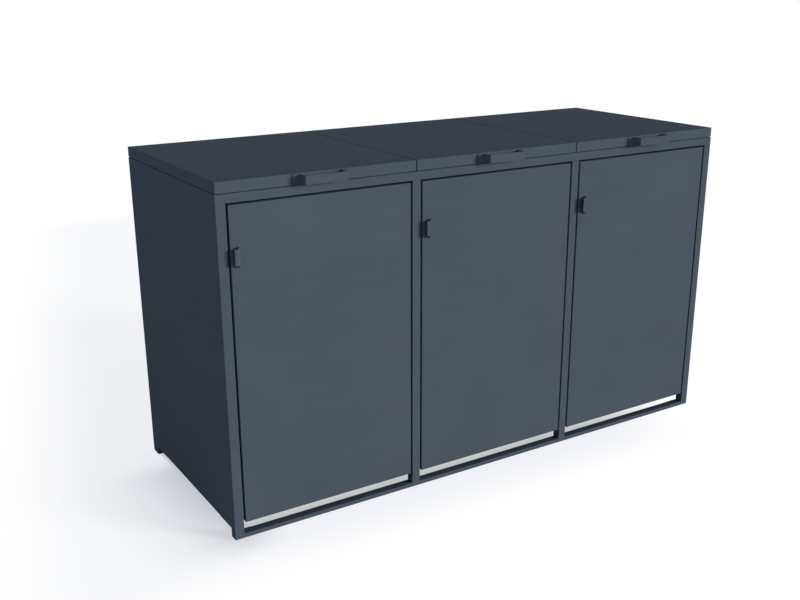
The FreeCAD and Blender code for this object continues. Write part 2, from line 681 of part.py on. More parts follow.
def make_magnets():
    """Magnetic catches behind the free edge of each door."""
    pieces = []
    low = PULL_MIDDLE - MAGNET_HIGH / 2
    for bay in range(BAYS):
        x = bay_left(bay)
        y = DOOR_DEEP + MAGNET_AIR
        case = block(f"magnet_case_{bay}", MAGNET_WIDE, MAGNET_DEEP, MAGNET_HIGH, x + GAUGE, y, low)
        tab = block(f"magnet_tab_{bay}", MAGNET_TAB + GAUGE * 2, MAGNET_TAB_THICK, MAGNET_HIGH,
                    x - MAGNET_TAB, POST_DEEP, low)
        pieces.append(join(f"magnet_{bay}", [case, tab]))
    keep("door_magnets", group("door_magnets", pieces))


# Lids

def make_lid_panel(bay):
    """A tray folded from one sheet: top, skirt on four sides, inward lip."""
    label = f"lid_panel_{bay + 1}"
    left = lid_left(bay)
    wide = lid_right(bay) - left
    blank = prism(label + "_blank", "XY_Plane", [rectangle(0, 0, wide, DEPTH)], SKIRT_HIGH,
                  left, 0, LID_LOW)
    top = SKIRT_HIGH.number

    def outer_bend(edge):
        return is_upright(edge) or all(abs(vertex.Z - top) < 1e-6 for vertex in edge.Vertexes)

    soften(blank, label + "_bends", LID_BEND, outer_bend)
    hollow = block(label + "_hollow", wide - GAUGE * 2, DEPTH - GAUGE * 2, SKIRT_HIGH - GAUGE * 2,
                   left + GAUGE, GAUGE, LID_LOW + GAUGE)
    mouth = block(label + "_mouth", wide - LID_LIP * 2, DEPTH - LID_LIP * 2, SKIRT_HIGH - GAUGE * 2,
                  left + LID_LIP, LID_LIP, LID_LOW - GAUGE)
    return keep(label, carve(label, blank, [hollow, mouth]))


def make_lid_ribs(bay):
    """Two angles under the lid, from front to rear; the left one carries the strut's head."""
    label = f"lid_ribs_{bay + 1}"
    top = HEIGHT - GAUGE
    long = DEPTH - RIB_MARGIN * 2
    pieces = []
    webs = (
        ("left", bay_left(bay) + RIB_INSET, bay_left(bay) + RIB_INSET + GAUGE - RIB_FLANGE),
        ("right", bay_right(bay) - RIB_INSET - GAUGE, bay_right(bay) - RIB_INSET - GAUGE),
    )
    for side, web_x, flange_x in webs:
        tag = f"{label}_{side}"
        web = block(tag + "_web", GAUGE, long, RIB_HIGH, web_x, RIB_MARGIN, top - RIB_HIGH)
        flange = block(tag + "_flange", RIB_FLANGE, long, GAUGE, flange_x, RIB_MARGIN, top - GAUGE)
        pieces.append(join(tag, [web, flange]))
    return keep(label, group(label, pieces))


def make_lid_handle(bay):
    """A flat strip bent into a stirrup, with a foot at each end against the skirt."""
    label = f"lid_handle_{bay + 1}"
    half = HANDLE_LONG / 2
    end = half + HANDLE_FOOT
    inner = half - HANDLE_STRIP
    out = -HANDLE_OUT
    points = [
        (-end, 0), (-end, -HANDLE_STRIP), (-half, -HANDLE_STRIP), (-half, out),
        (half, out), (half, -HANDLE_STRIP), (end, -HANDLE_STRIP), (end, 0),
        (inner, 0), (inner, out + HANDLE_STRIP), (-inner, out + HANDLE_STRIP), (-inner, 0),
    ]
    strip = prism(label, "XY_Plane", [points], HANDLE_HIGH,
                  lid_middle(bay), 0, HEIGHT - HANDLE_DROP - HANDLE_HIGH)
    front = out.number

    def outer_corner(edge):
        return is_upright(edge) and abs(edge.Vertexes[0].Y - front) < 1e-6

    soften(strip, label + "_bends", HANDLE_BEND, outer_corner)
    return keep(label, strip)


def lid_hinge_leaf(tag, x, upward):
    """One leaf of a lid hinge: the lid's has the middle knuckle, the frame's the outer two."""
    half = PIN_LONG / 2
    left = x - half
    middle_half = LID_KNUCKLE_LONG / 2
    outer_long = half - middle_half - KNUCKLE_GAP
    tab_high = LID_LEAF_CLEAR - LID_GAP / 2
    if upward:
        plate_low = LID_AXIS_Z + LID_LEAF_CLEAR
        tab_low = LID_AXIS_Z + LID_GAP / 2
        bore_radius = PIN_RADIUS + PIN_PLAY
        knuckles = [(x - middle_half, LID_KNUCKLE_LONG)]
    else:
        plate_low = LID_AXIS_Z - LID_LEAF_CLEAR - LID_LEAF_HIGH
        tab_low = LID_AXIS_Z - LID_LEAF_CLEAR
        bore_radius = PIN_RADIUS
        knuckles = [(left, outer_long), (x + middle_half + KNUCKLE_GAP, outer_long)]
    solids = [block(tag + "_plate", PIN_LONG, LEAF_THICK, LID_LEAF_HIGH, left, DEPTH, plate_low)]
    bores = []
    for number, (start, long) in enumerate(knuckles):
        solids.append(block(f"{tag}_tab_{number}", long, LEAF_THICK, tab_high, start, DEPTH, tab_low))
        solids.append(cylinder(f"{tag}_knuckle_{number}", LID_KNUCKLE, long, "x",
                               start, LID_AXIS_Y, LID_AXIS_Z))
        bores.append(cylinder(f"{tag}_bore_{number}", bore_radius, long, "x",
                              start, LID_AXIS_Y, LID_AXIS_Z))
    return carve(tag, join(tag + "_solid", solids), bores)


def lid_hinge_places(bay):
    return (lid_left(bay) + LID_HINGE_SIDE, lid_right(bay) - LID_HINGE_SIDE)


def make_lid_hinges():
    frame_leaves = []
    for bay in range(BAYS):
        lid_leaves = []
        for number, x in enumerate(lid_hinge_places(bay)):
            lid_leaves.append(lid_hinge_leaf(f"lid_leaf_{bay}_{number}", x, upward=True))
            frame_leaves.append(lid_hinge_leaf(f"frame_leaf_{bay}_{number}", x, upward=False))
        label = f"lid_hinge_leaves_{bay + 1}"
        keep(label, group(label, lid_leaves))
    keep("frame_hinge_leaves", group("frame_hinge_leaves", frame_leaves))


def make_hinge_pins():
    pieces = []
    for bay in range(BAYS):
        for height in HINGE_HEIGHTS:
            pieces.append(cylinder(f"hinge_pin_{len(pieces)}", PIN_RADIUS, PIN_LONG, "z",
                                   pivot_x(bay), PIVOT_BACK, height - PIN_LONG / 2))
        for x in lid_hinge_places(bay):
            pieces.append(cylinder(f"hinge_pin_{len(pieces)}", PIN_RADIUS, PIN_LONG, "x",
                                   x - PIN_LONG / 2, LID_AXIS_Y, LID_AXIS_Z))
    keep("hinge_pins", group("hinge_pins", pieces))


def make_buffers():
    """Rubber pads on the front rail, under the front lip of each lid."""
    pieces = []
    for bay in range(BAYS):
        for x in (lid_left(bay) + BUFFER_SIDE, lid_right(bay) - BUFFER_SIDE):
            pieces.append(block(f"buffer_{len(pieces)}", BUFFER_LONG, BUFFER_DEEP, BUFFER_HIGH,
                                x - BUFFER_LONG / 2, GAUGE, BODY_TOP))
    keep("lid_buffers", group("lid_buffers", pieces))


# Gas struts

STUD_REACH = STRUT_SIDE - RIB_INSET - GAUGE - STRUT_AIR
FOOT_Y = LID_AXIS_Y - STRUT_FOOT_Y
FOOT_Z = LID_AXIS_Z - STRUT_FOOT_Z
STRUT_RUN = STRUT_HEAD_Y - STRUT_FOOT_Y
STRUT_RISE = STRUT_HEAD_Z + STRUT_FOOT_Z
STRUT_LONG = hypotenuse(STRUT_RUN, STRUT_RISE)
STRUT_LEAN = arctangent(STRUT_RUN, STRUT_RISE)
TUBE_END = STRUT_LONG - STRUT_REST
BORE_START = STRUT_SHOULDER + TUBE


def lean(bundle, bay):
    """Turn a piece built upright at the origin to the strut's line, and move it to the foot."""
    bundle.Placement = FreeCAD.Placement(Vector(), Rotation(Vector(1, 0, 0), STRUT_LEAN.number))
    bind(bundle, "Placement.Rotation.Angle", STRUT_LEAN)
    place(bundle, bay_left(bay) + STRUT_SIDE, FOOT_Y, FOOT_Z)
    return bundle


def local_cylinder(name, radius, length, start, across=False):
    """A cylinder in the strut's own upright frame, along its line or across it."""
    rod = doc.addObject("Part::Cylinder", name)
    bind(rod, "Radius", radius)
    bind(rod, "Height", length)
    if across:
        rod.Placement = FreeCAD.Placement(Vector(), TURNS["x"])
        bind(rod, "Placement.Base.x", -length / 2)
    bind(rod, "Placement.Base.z", start)
    return rod


def make_strut_tube(bay):
    label = f"strut_tube_{bay + 1}"
    eye = local_cylinder(label + "_eye", STRUT_EYE, STRUT_EYE_WIDE, 0, across=True)
    neck_start = STUD_HEAD + STRUT_AIR
    neck = local_cylinder(label + "_neck", STRUT_NECK, STRUT_SHOULDER - neck_start, neck_start)
    barrel = local_cylinder(label + "_barrel", STRUT_TUBE, TUBE_END - STRUT_SHOULDER, STRUT_SHOULDER)
    hole = local_cylinder(label + "_hole", STRUT_STUD + PIN_PLAY, STRUT_EYE_WIDE * 2, 0, across=True)
    bore = local_cylinder(label + "_bore", STRUT_BORE, TUBE_END - STRUT_GLAND - BORE_START, BORE_START)
    guide = local_cylinder(label + "_guide", STRUT_ROD + PIN_PLAY, TUBE_END, BORE_START)
    solid = join(label + "_solid", [eye, neck, barrel])
    return keep(label, lean(carve(label, solid, [hole, bore, guide]), bay))


def make_strut_rod(bay):
    label = f"strut_rod_{bay + 1}"
    start = BORE_START + STRUT_SPARE
    piston = local_cylinder(label + "_piston", STRUT_BORE - PIN_PLAY, STRUT_PISTON, start)
    shaft = local_cylinder(label + "_shaft", STRUT_ROD, STRUT_LONG - start, start)
    eye = local_cylinder(label + "_eye", STRUT_EYE, STRUT_EYE_WIDE, STRUT_LONG, across=True)
    stud = local_cylinder(label + "_stud", STRUT_STUD, STUD_REACH, STRUT_LONG, across=True)
    bind(stud, "Placement.Base.x", -STUD_REACH)
    return keep(label, lean(join(label, [piston, shaft, eye, stud]), bay))


def make_strut_feet():
    """Plates on the inner side of the left-hand rail of each bay, with the strut's lower stud."""
    pieces = []
    plate_low = FOOT_Z - STRUT_EYE
    stud_long = STRUT_SIDE + STRUT_EYE_WIDE / 2 + STRUT_AIR - PLATE_THICK
    for bay in range(BAYS):
        x = bay_left(bay)
        plate = block(f"foot_plate_{bay}", PLATE_THICK, PLATE_WIDE, BODY_TOP - PLATE_TOP - plate_low,
                      x, FOOT_Y - PLATE_WIDE / 2, plate_low)
        stud = cylinder(f"foot_stud_{bay}", STRUT_STUD, stud_long, "x", x + PLATE_THICK, FOOT_Y, FOOT_Z)
        head = cylinder(f"foot_head_{bay}", STUD_HEAD, STUD_HEAD_THICK, "x",
                        x + PLATE_THICK + stud_long, FOOT_Y, FOOT_Z)
        pieces.append(join(f"strut_foot_{bay}", [plate, stud, head]))
    keep("strut_foot_plates", group("strut_foot_plates", pieces))


def build():
    plain_posts = make_posts()
    plain_rail = make_rails()
    make_sill()
    make_anchors()
    make_side_panels()
    make_rear(plain_posts, plain_rail)
    for bay in range(BAYS):
        make_door_panel(bay)
        make_door_stiffener(bay)
        make_door_pull(bay)
        make_door_leaves(bay)
    make_door_brackets()
    make_magnets()
    for bay in range(BAYS):
        make_lid_panel(bay)
        make_lid_ribs(bay)
        make_lid_handle(bay)
    make_lid_hinges()
    make_hinge_pins()
    make_buffers()
    for bay in range(BAYS):
        make_strut_tube(bay)
        make_strut_rod(bay)
    make_strut_feet()


def check_model():
    for item in doc.Objects:
        if "Invalid" in item.State or "Error" in item.State:
            raise RuntimeError(f"{item.Label} failed: {item.State}")
    for piece in nodes:
        if piece.Shape.isNull() or not piece.Shape.isValid():
            raise RuntimeError(f"{piece.Label} has no valid shape")


def export():
    os.makedirs("parts", exist_ok=True)
    for piece in nodes:
        piece.Shape.exportStep(f"parts/{piece.Label}.step")
        box = piece.Shape.BoundBox
        print(f"{piece.Label}: {len(piece.Shape.Solids)} solids, {piece.Shape.Volume / 1000:.1f} cm3, "
              f"x {box.XMin:.1f}..{box.XMax:.1f}, y {box.YMin:.1f}..{box.YMax:.1f}, "
              f"z {box.ZMin:.1f}..{box.ZMax:.1f}")


build()
doc.recompute()
check_model()
export()
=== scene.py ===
"""Looks of a sheet-steel store for three wheeled bins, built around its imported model.

Lengths are in metres in the model's own frame: +X to the right as seen from the doors, +Y from
the doors to the rear, +Z up from the ground.
"""

from __future__ import annotations

import json
import logging
import math
from dataclasses import dataclass, field
from enum import Enum
from typing import Iterable, Sequence

import bmesh
import bpy
from bmesh.types import BMesh, BMEdge, BMFace, BMVert
from bpy.types import Material, Node, NodeSocket, NodeTree, Object
from mathutils import Matrix, Vector

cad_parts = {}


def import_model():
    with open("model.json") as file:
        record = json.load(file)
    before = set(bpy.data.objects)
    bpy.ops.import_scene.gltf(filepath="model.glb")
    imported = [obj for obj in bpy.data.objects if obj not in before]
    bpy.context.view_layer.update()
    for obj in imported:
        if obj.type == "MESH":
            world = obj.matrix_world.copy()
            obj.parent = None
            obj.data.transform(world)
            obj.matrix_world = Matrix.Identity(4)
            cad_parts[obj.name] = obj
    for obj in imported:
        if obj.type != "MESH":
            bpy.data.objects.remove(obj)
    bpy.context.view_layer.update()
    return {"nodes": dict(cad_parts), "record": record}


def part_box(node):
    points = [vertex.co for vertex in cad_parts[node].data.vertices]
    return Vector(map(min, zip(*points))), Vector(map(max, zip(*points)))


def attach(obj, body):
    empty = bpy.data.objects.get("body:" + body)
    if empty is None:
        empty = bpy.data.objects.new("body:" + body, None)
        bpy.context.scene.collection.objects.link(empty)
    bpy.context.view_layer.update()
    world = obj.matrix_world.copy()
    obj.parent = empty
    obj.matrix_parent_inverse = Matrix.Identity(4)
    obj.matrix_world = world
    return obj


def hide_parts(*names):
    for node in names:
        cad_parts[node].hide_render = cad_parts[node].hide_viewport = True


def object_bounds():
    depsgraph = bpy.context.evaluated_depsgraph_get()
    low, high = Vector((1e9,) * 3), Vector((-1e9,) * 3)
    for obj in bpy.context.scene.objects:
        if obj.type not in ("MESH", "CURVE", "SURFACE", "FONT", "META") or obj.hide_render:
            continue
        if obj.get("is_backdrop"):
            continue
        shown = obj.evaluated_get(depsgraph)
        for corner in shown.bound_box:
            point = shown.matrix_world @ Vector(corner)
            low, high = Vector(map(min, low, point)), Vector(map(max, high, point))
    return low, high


LOG = logging.getLogger("bin_store")
MM = 0.001
BAYS = (1, 2, 3)
RIGHT, REAR, UP = Vector((1, 0, 0)), Vector((0, 1, 0)), Vector((0, 0, 1))
Tones = tuple[tuple[float, str], ...]
Box = tuple[Vector, Vector]


class Side(Enum):
    """A side of the store, as the sign of its direction along X."""

    LEFT = -1
    RIGHT = 1


# Materials


def linear(hex_colour: str) -> tuple[float, float, float, float]:
    """Turn an sRGB hex colour into the linear values that a shader takes.

    Args:
        hex_colour: Six hex digits, such as "4c555f".

    Returns:
        Red, green, blue and an alpha of one.
    """
    parts = [int(hex_colour[i : i + 2], 16) / 255 for i in (0, 2, 4)]
    red, green, blue = (p / 12.92 if p <= 0.04045 else ((p + 0.055) / 1.055) ** 2.4 for p in parts)
    return red, green, blue, 1.0


def feed(node: Node, **inputs: object) -> None:
    """Set or link a node's inputs.

    Args:
        node: The node.
        **inputs: Values or output sockets, by the input's name with spaces as underscores, or by
            an underscore and its number.
    """
    for name, value in inputs.items():
        socket = node.inputs[int(name[1:]) if name[1:].isdigit() else name.replace("_", " ")]
        if isinstance(value, NodeSocket):
            node.id_data.links.new(value, socket)
        else:
            socket.default_value = value


def add_node(
    tree: NodeTree, kind: str, settings: dict | None = None, tones: Tones = (), **inputs: object
) -> Node:
    """Add one shader node with its settings and inputs.

    Args:
        tree: The node tree to add to.
        kind: The node's type name, without its ShaderNode prefix.
        settings: Properties of the node itself.
        tones: A ramp's positions and sRGB colours, the two ends first.
        **inputs: What the node's inputs are fed with.

    Returns:
        The new node.
    """
    node = tree.nodes.new("ShaderNode" + kind)
    for name, value in (settings or {}).items():
        setattr(node, name, value)
    for index, (place, colour) in enumerate(tones):
        stops = node.color_ramp.elements
        stop = stops[index] if index < 2 else stops.new(place)
        stop.color = linear(colour)
        if index < 2:
            stop.position = place
    feed(node, **inputs)
    return node


@dataclass(frozen=True)
class Finish:
    """A finish whose tone and sheen drift over the piece in soft patches, over a fine relief."""

    name: str
    tones: Tones
    roughness: float
    drift: float  # from the middle roughness to that at the top of the pattern
    metallic: float = 0.0
    spread: tuple[float, float] = (0.0, 1.0)  # the part of the pattern that the roughness follows
    patch: float = 20 * MM
    grain: float = 0.8 * MM
    grain_deep: float = 0.1 * MM
    bump: float = 0.05

    def pattern(self, tree: NodeTree, place: NodeSocket) -> NodeSocket:
        """Draw the pattern that the tone and the sheen follow.

        Args:
            tree: The material's node tree.
            place: The piece's own coordinates.

        Returns:
            A number from 0 to 1.
        """
        return add_node(
            tree, "TexNoise", Vector=place, Scale=1 / self.patch, Detail=5.0
        ).outputs["Fac"]

    def build(self) -> Material:
        """Make the material.

        Returns:
            The material.
        """
        material = bpy.data.materials.new(self.name)
        material.use_nodes = True
        tree = material.node_tree
        shader = tree.nodes["Principled BSDF"]
        place = add_node(tree, "TexCoord").outputs["Object"]
        pattern = self.pattern(tree, place)
        tone = add_node(tree, "ValToRGB", tones=self.tones, Fac=pattern)
        sheen = add_node(
            tree,
            "MapRange",
            Value=pattern,
            From_Min=self.spread[0],
            From_Max=self.spread[1],
            To_Min=self.roughness - self.drift,
            To_Max=self.roughness + self.drift,
        )
        feed(shader, Base_Color=tone.outputs["Color"], Roughness=sheen.outputs[0])
        feed(shader, Metallic=self.metallic)
        if self.bump:
            grains = add_node(tree, "TexNoise", Vector=place, Scale=1 / self.grain).outputs["Fac"]
            relief = add_node(
                tree, "Bump", Strength=self.bump, Distance=self.grain_deep, Height=grains
            )
            feed(shader, Normal=relief.outputs[0])
        return material


@dataclass(frozen=True)
class PowderCoat(Finish):
    """Fine-texture polyester powder coat on sheet steel, baked on.

    It gives the eye a flat, dry grey-blue with a low even sheen. Close to, the surface is a tight
    skin of grains, and each sheet's tone drifts a little where the powder went on thicker.
    """

    name: str = "anthracite_powder_coat"
    tones: Tones = ((0.34, "475059"), (0.66, "4b545f"), (0.5, "49525c"))
    roughness: float = 0.80
    drift: float = 0.05
    spread: tuple[float, float] = (0.3, 0.7)
    patch: float = 260 * MM  # size of the patches where the coat is thicker or thinner
    grain: float = 1.1 * MM  # real grains are near 0.2 mm: drawn this coarse so that they show
    grain_deep: float = 0.15 * MM
    bump: float = 0.10
    ior: float = 1.45
    gloss: float = 0.012  # the grains break up nearly all of smooth polyester's mirror part
    streak: float = 9 * MM  # height of the faint level streaks left by the rolling of the sheet
    streak_long: float = 50.0  # how many times as long as high they are
    streak_scale: float = 0.35  # cells of the noise for each streak: its detail is finer
    streak_share: float = 0.35

    def pattern(self, tree: NodeTree, place: NodeSocket) -> NodeSocket:
        """Draw patches of thicker coat, with level streaks over them.

        Args:
            tree: The material's node tree.
            place: The piece's own coordinates.

        Returns:
            A number from 0 to 1.
        """
        patches = add_node(tree, "TexNoise", Vector=place, Scale=1 / self.patch, Detail=3.0)
        across = 1 / self.streak / self.streak_long
        level = add_node(tree, "Mapping", Vector=place, Scale=(across, across, 1 / self.streak))
        streaks = add_node(
            tree, "TexNoise", Vector=level.outputs[0], Scale=self.streak_scale, Detail=4.0
        )
        return add_node(
            tree,
            "Mix",
            {"data_type": "FLOAT"},
            _0=self.streak_share,
            _2=patches.outputs["Fac"],
            _3=streaks.outputs["Fac"],
        ).outputs[0]

    def build(self) -> Material:
        """Make the material, with the little gloss that the grains leave.

        Returns:
            The material.
        """
        material = super().build()
        shader = material.node_tree.nodes["Principled BSDF"]
        feed(shader, IOR=self.ior, Specular_IOR_Level=self.gloss)
        return material


@dataclass(frozen=True)
class ZincPlate(Finish):
    """Zinc-plated and passivated mild steel, as on hinges, brackets and rivets.

    It gives the eye a cool pale metal, never bright: a soft spangle in its tone and a blurred
    reflection.
    """

    name: str = "zinc_plated_steel"
    tones: Tones = ((0.0, "92979b"), (1.0, "a9adb0"))
    roughness: float = 0.42
    drift: float = -0.08
    metallic: float = 1.0
    bump: float = 0.0
    spangle: float = 3 * MM
    cloud: float = 15 * MM
    cloud_share: float = 0.6

    def pattern(self, tree: NodeTree, place: NodeSocket) -> NodeSocket:
        """Draw the spangle of the crystals, with clouds over it.

        Args:
            tree: The material's node tree.
            place: The piece's own coordinates.

        Returns:
            A number from 0 to about 1.
        """
        crystals = add_node(tree, "TexVoronoi", Vector=place, Scale=1 / self.spangle)
        clouds = add_node(tree, "TexNoise", Vector=place, Scale=1 / self.cloud, Detail=4.0)
        return add_node(
            tree,
            "Mix",
            {"data_type": "FLOAT"},
            _0=self.cloud_share,
            _2=crystals.outputs["Distance"],
            _3=clouds.outputs["Fac"],
        ).outputs[0]


# Stoved paint: near black, with a soft even shine.
STRUT_PAINT = Finish("satin_black_paint", ((0.35, "101113"), (0.75, "1c1e20")), 0.34, 0.051)
# Ground and polished chrome: a clear, bright reflection.
HARD_CHROME = Finish(
    "hard_chrome_rod", ((0.35, "c9ccd0"), (0.75, "d9dbdd")), 0.12, 0.018, metallic=1.0, bump=0.01
)
# Moulded nylon: black with a dull skin.
CATCH_NYLON = Finish("moulded_nylon_catch", ((0.35, "17181a"), (0.75, "222427")), 0.5, 0.075)
# Extruded rubber: black and dry.
BUFFER_RUBBER = Finish(
    "epdm_rubber_buffer", ((0.35, "131313"), (0.75, "1f1f1e")), 0.75, 0.1125, bump=0.12
)


@dataclass
class Finishes:
    """The store's materials, one for each slot of the record."""

    by_slot: dict[str, Material] = field(default_factory=dict)

    def build(self) -> None:
        """Make every material."""
        finishes = {
            "powder_coat": PowderCoat(),
            "zinc_steel": ZincPlate(),
            "strut_black": STRUT_PAINT,
            "strut_rod": HARD_CHROME,
            "catch_plastic": CATCH_NYLON,
            "buffer_rubber": BUFFER_RUBBER,
        }
        self.by_slot = {slot: finish.build() for slot, finish in finishes.items()}


# Shaping


def box_mesh(low: Vector, high: Vector) -> BMesh:
    """Start a mesh from a box.

    Args:
        low: The box's lowest corner.
        high: The box's highest corner.

    Returns:
        The new mesh.
    """
    mesh = bmesh.new()
    bmesh.ops.create_cube(mesh, size=1.0)
    bmesh.ops.scale(mesh, vec=high - low, verts=mesh.verts)
    bmesh.ops.translate(mesh, vec=(low + high) / 2, verts=mesh.verts)
    return mesh


def edges_along(mesh: BMesh, way: Vector) -> list[BMEdge]:
    """Pick the edges that run along one direction."""
    runs = {edge: (edge.verts[1].co - edge.verts[0].co).normalized() for edge in mesh.edges}
    return [edge for edge, run in runs.items() if abs(run.dot(way)) > 0.999]


def sharp_edges(mesh: BMesh, degrees: float = 60.0) -> list[BMEdge]:
    """Pick the edges where two faces meet at more than an angle."""
    limit = math.radians(degrees)
    return [edge for edge in mesh.edges if len(edge.link_faces) == 2 and edge.calc_face_angle() > limit]


def middle(edge: BMEdge) -> Vector:
    """Give an edge's middle."""
    return (edge.verts[0].co + edge.verts[1].co) / 2


def faces_towards(mesh: BMesh, way: Vector) -> list[BMFace]:
    """Pick the faces that look along one direction."""
    mesh.normal_update()
    return [face for face in mesh.faces if face.normal.dot(way) > 0.99]


def round_edges(mesh: BMesh, edges: Iterable[BMEdge], radius: float, segments: int = 4) -> None:
    """Round some edges.

    Args:
        mesh: The mesh to change.
        edges: The edges to round.
        radius: The radius of the bend.
        segments: Flat strips in each rounding.
    """
    bmesh.ops.bevel(
        mesh,
        geom=list(edges),
        offset=radius,
        offset_type="OFFSET",
        segments=segments,
        profile=0.5,
        affect="EDGES",
        clamp_overlap=True,
        material=-1,
    )


def face_outwards(mesh: BMesh, way: Vector) -> None:
    """Make an open sheet's faces agree.

    Args:
        mesh: The sheet.
        way: The direction that its largest face is to look in.
    """
    bmesh.ops.recalc_face_normals(mesh, faces=mesh.faces)
    mesh.normal_update()
    largest = max(mesh.faces, key=lambda face: face.calc_area())
    if largest.normal.dot(way) < 0:
        bmesh.ops.reverse_faces(mesh, faces=mesh.faces)


def thicken(mesh: BMesh, gauge: float) -> None:
    """Give a sheet its thickness, inwards from its outer face."""
    bmesh.ops.solidify(mesh, geom=mesh.faces[:], thickness=gauge)


def chain(
    mesh: BMesh, path: Iterable[Sequence[float]], closed: bool = False
) -> tuple[list[BMVert], list[BMEdge]]:
    """Join corners with edges, in order.

    Args:
        mesh: The mesh to draw in.
        path: The corners.
        closed: Whether the last corner joins the first.

    Returns:
        The vertices and the edges.
    """
    corners = [mesh.verts.new(point) for point in path]
    others = corners[1:] + corners[:1] if closed else corners[1:]
    return corners, [mesh.edges.new(pair) for pair in zip(corners, others)]


def new_verts(made: dict) -> list[BMVert]:
    """Pick the vertices that an operator returned."""
    return [item for item in made["geom"] if isinstance(item, BMVert)]


def extend(mesh: BMesh, edges: Sequence[BMEdge], run: Vector) -> None:
    """Sweep edges into faces along a straight run."""
    far = new_verts(bmesh.ops.extrude_edge_only(mesh, edges=list(edges)))
    bmesh.ops.translate(mesh, vec=run, verts=far)


def spin(
    mesh: BMesh,
    geom: Sequence[BMVert | BMEdge],
    centre: Sequence[float],
    axis: Sequence[float],
    degrees: float,
    steps: int,
) -> list[BMVert | BMEdge]:
    """Sweep vertices or edges round an axis.

    Args:
        mesh: The mesh to change.
        geom: What is swept.
        centre: A point of the axis.
        axis: The axis's direction.
        degrees: The angle swept; a full turn is closed.
        steps: Flat strips in the sweep.

    Returns:
        What lies at the sweep's end.
    """
    made = bmesh.ops.spin(
        mesh,
        geom=list(geom),
        cent=centre,
        axis=axis,
        dvec=(0, 0, 0),
        angle=math.radians(degrees),
        steps=steps,
        use_merge=degrees == 360,
        use_duplicate=False,
    )
    return made["geom_last"]


def strip(path: Sequence[Vector], run: Vector) -> BMesh:
    """Make a sheet by sweeping a path of corners along a straight run.

    Args:
        path: The corners, along the sheet's outer face.
        run: The sweep's length and direction.

    Returns:
        The sheet, with no thickness yet.
    """
    mesh = bmesh.new()
    extend(mesh, chain(mesh, path)[1], run)
    return mesh


def turned(
    profile: Sequence[tuple[float, float]], steps: int = 20, closed: bool = False
) -> BMesh:
    """Make a round piece by spinning a profile about +Z.

    Args:
        profile: Radius and height of each corner.
        steps: Flat sides round the piece.
        closed: Whether the last corner joins the first, as for a ring.

    Returns:
        The piece, at the origin.
    """
    mesh = bmesh.new()
    corners, edges = chain(mesh, [(radius, 0.0, height) for radius, height in profile], closed)
    spin(mesh, corners + edges, (0, 0, 0), (0, 0, 1), 360, steps)
    bmesh.ops.remove_doubles(mesh, verts=mesh.verts, dist=0.001 * MM)
    bmesh.ops.recalc_face_normals(mesh, faces=mesh.faces)
    return mesh


def ring(bore: float, outer: float, low: float, high: float, chamfer: float, steps: int) -> BMesh:
    """Turn a ring about +Z, with its outer rims chamfered.

    Args:
        bore: Radius of its hole.
        outer: Its outer radius.
        low: Height of its lower end.
        high: Height of its upper end.
        chamfer: Width of the chamfers.
        steps: Flat sides round it.

    Returns:
        The ring.
    """
    rim = outer - chamfer
    profile = [(bore, low), (rim, low), (outer, low + chamfer)]
    profile += [(outer, high - chamfer), (rim, high), (bore, high)]
    return turned(profile, steps, closed=True)


def aim(mesh: BMesh, place: Vector, way: Vector, across: Vector | None = None) -> BMesh:
    """Turn a piece made about +Z to a direction and move it to its place.

    Args:
        mesh: The piece.
        place: Where its origin goes.
        way: Where its +Z points.
        across: Where its +X points; any way at right angles if not given.

    Returns:
        The same mesh.
    """
    if across is None:
        across = way.orthogonal().normalized()
    turn = Matrix((across, way.cross(across), way)).transposed().to_4x4()
    bmesh.ops.transform(mesh, matrix=Matrix.Translation(place) @ turn, verts=mesh.verts)
    return mesh


def merged(parts: Sequence[BMesh]) -> BMesh:
    """Put several meshes into one.

    Args:
        parts: The meshes, which are freed.

    Returns:
        The new mesh.
    """
    whole = bmesh.new()
    for part in parts:
        data = bpy.data.meshes.new("part")
        part.to_mesh(data)
        part.free()
        whole.from_mesh(data)
        bpy.data.meshes.remove(data)
    return whole


def tray(low: Vector, high: Vector, opening: Vector, lip: float, bend: float) -> BMesh:
    """Fold a tray from one sheet, open on one side, with a lip round the opening.

    Args:
        low: The tray's lowest corner.
        high: The tray's highest corner.
        opening: The direction in which it is open.
        lip: Width of the lip.
        bend: Outer radius of the folds.

    Returns:
        The tray's outer face, with no thickness yet.
    """
    mesh = box_mesh(low, high)
    mouth = faces_towards(mesh, opening)
    bmesh.ops.inset_region(
        mesh, faces=mouth, thickness=lip, use_even_offset=True, use_boundary=True
    )
    bmesh.ops.delete(mesh, geom=mouth, context="FACES_ONLY")
    round_edges(mesh, sharp_edges(mesh), bend)
    return mesh


def plate(
    low: Vector, high: Vector, across: Vector, corner: float, rim: float = 0.4 * MM
) -> BMesh:
    """Cut a plate with rounded corners and broken rims.

    Args:
        low: The plate's lowest corner.
        high: The plate's highest corner.
        across: The direction through its thickness.
        corner: Radius of its corners.
        rim: Width of the broken edge.

    Returns:
        The plate.
    """
    mesh = box_mesh(low, high)
    round_edges(mesh, edges_along(mesh, across), corner)
    round_edges(mesh, sharp_edges(mesh), rim, 2)
    return mesh


@dataclass(frozen=True)
class BlindRivet:
    """A pulled rivet: a domed head with the dimple that its broken mandrel leaves."""

    head: float = 3.4 * MM
    dome: float = 1.2 * MM
    steps: int = 14

    def build(self, place: Vector, way: Vector) -> BMesh:
        """Set one rivet.

        Args:
            place: The head's middle, on the sheet.
            way: The direction out of the sheet.

        Returns:
            The rivet.
        """
        shape = [(0.0, 0.45), (0.24, 0.45), (0.29, 1.0), (0.62, 0.86), (0.88, 0.5), (1.0, 0.1)]
        shape += [(0.97, -0.1), (0.0, -0.1)]
        profile = [(wide * self.head, high * self.dome) for wide, high in shape]
        return aim(turned(profile, self.steps), place, way)


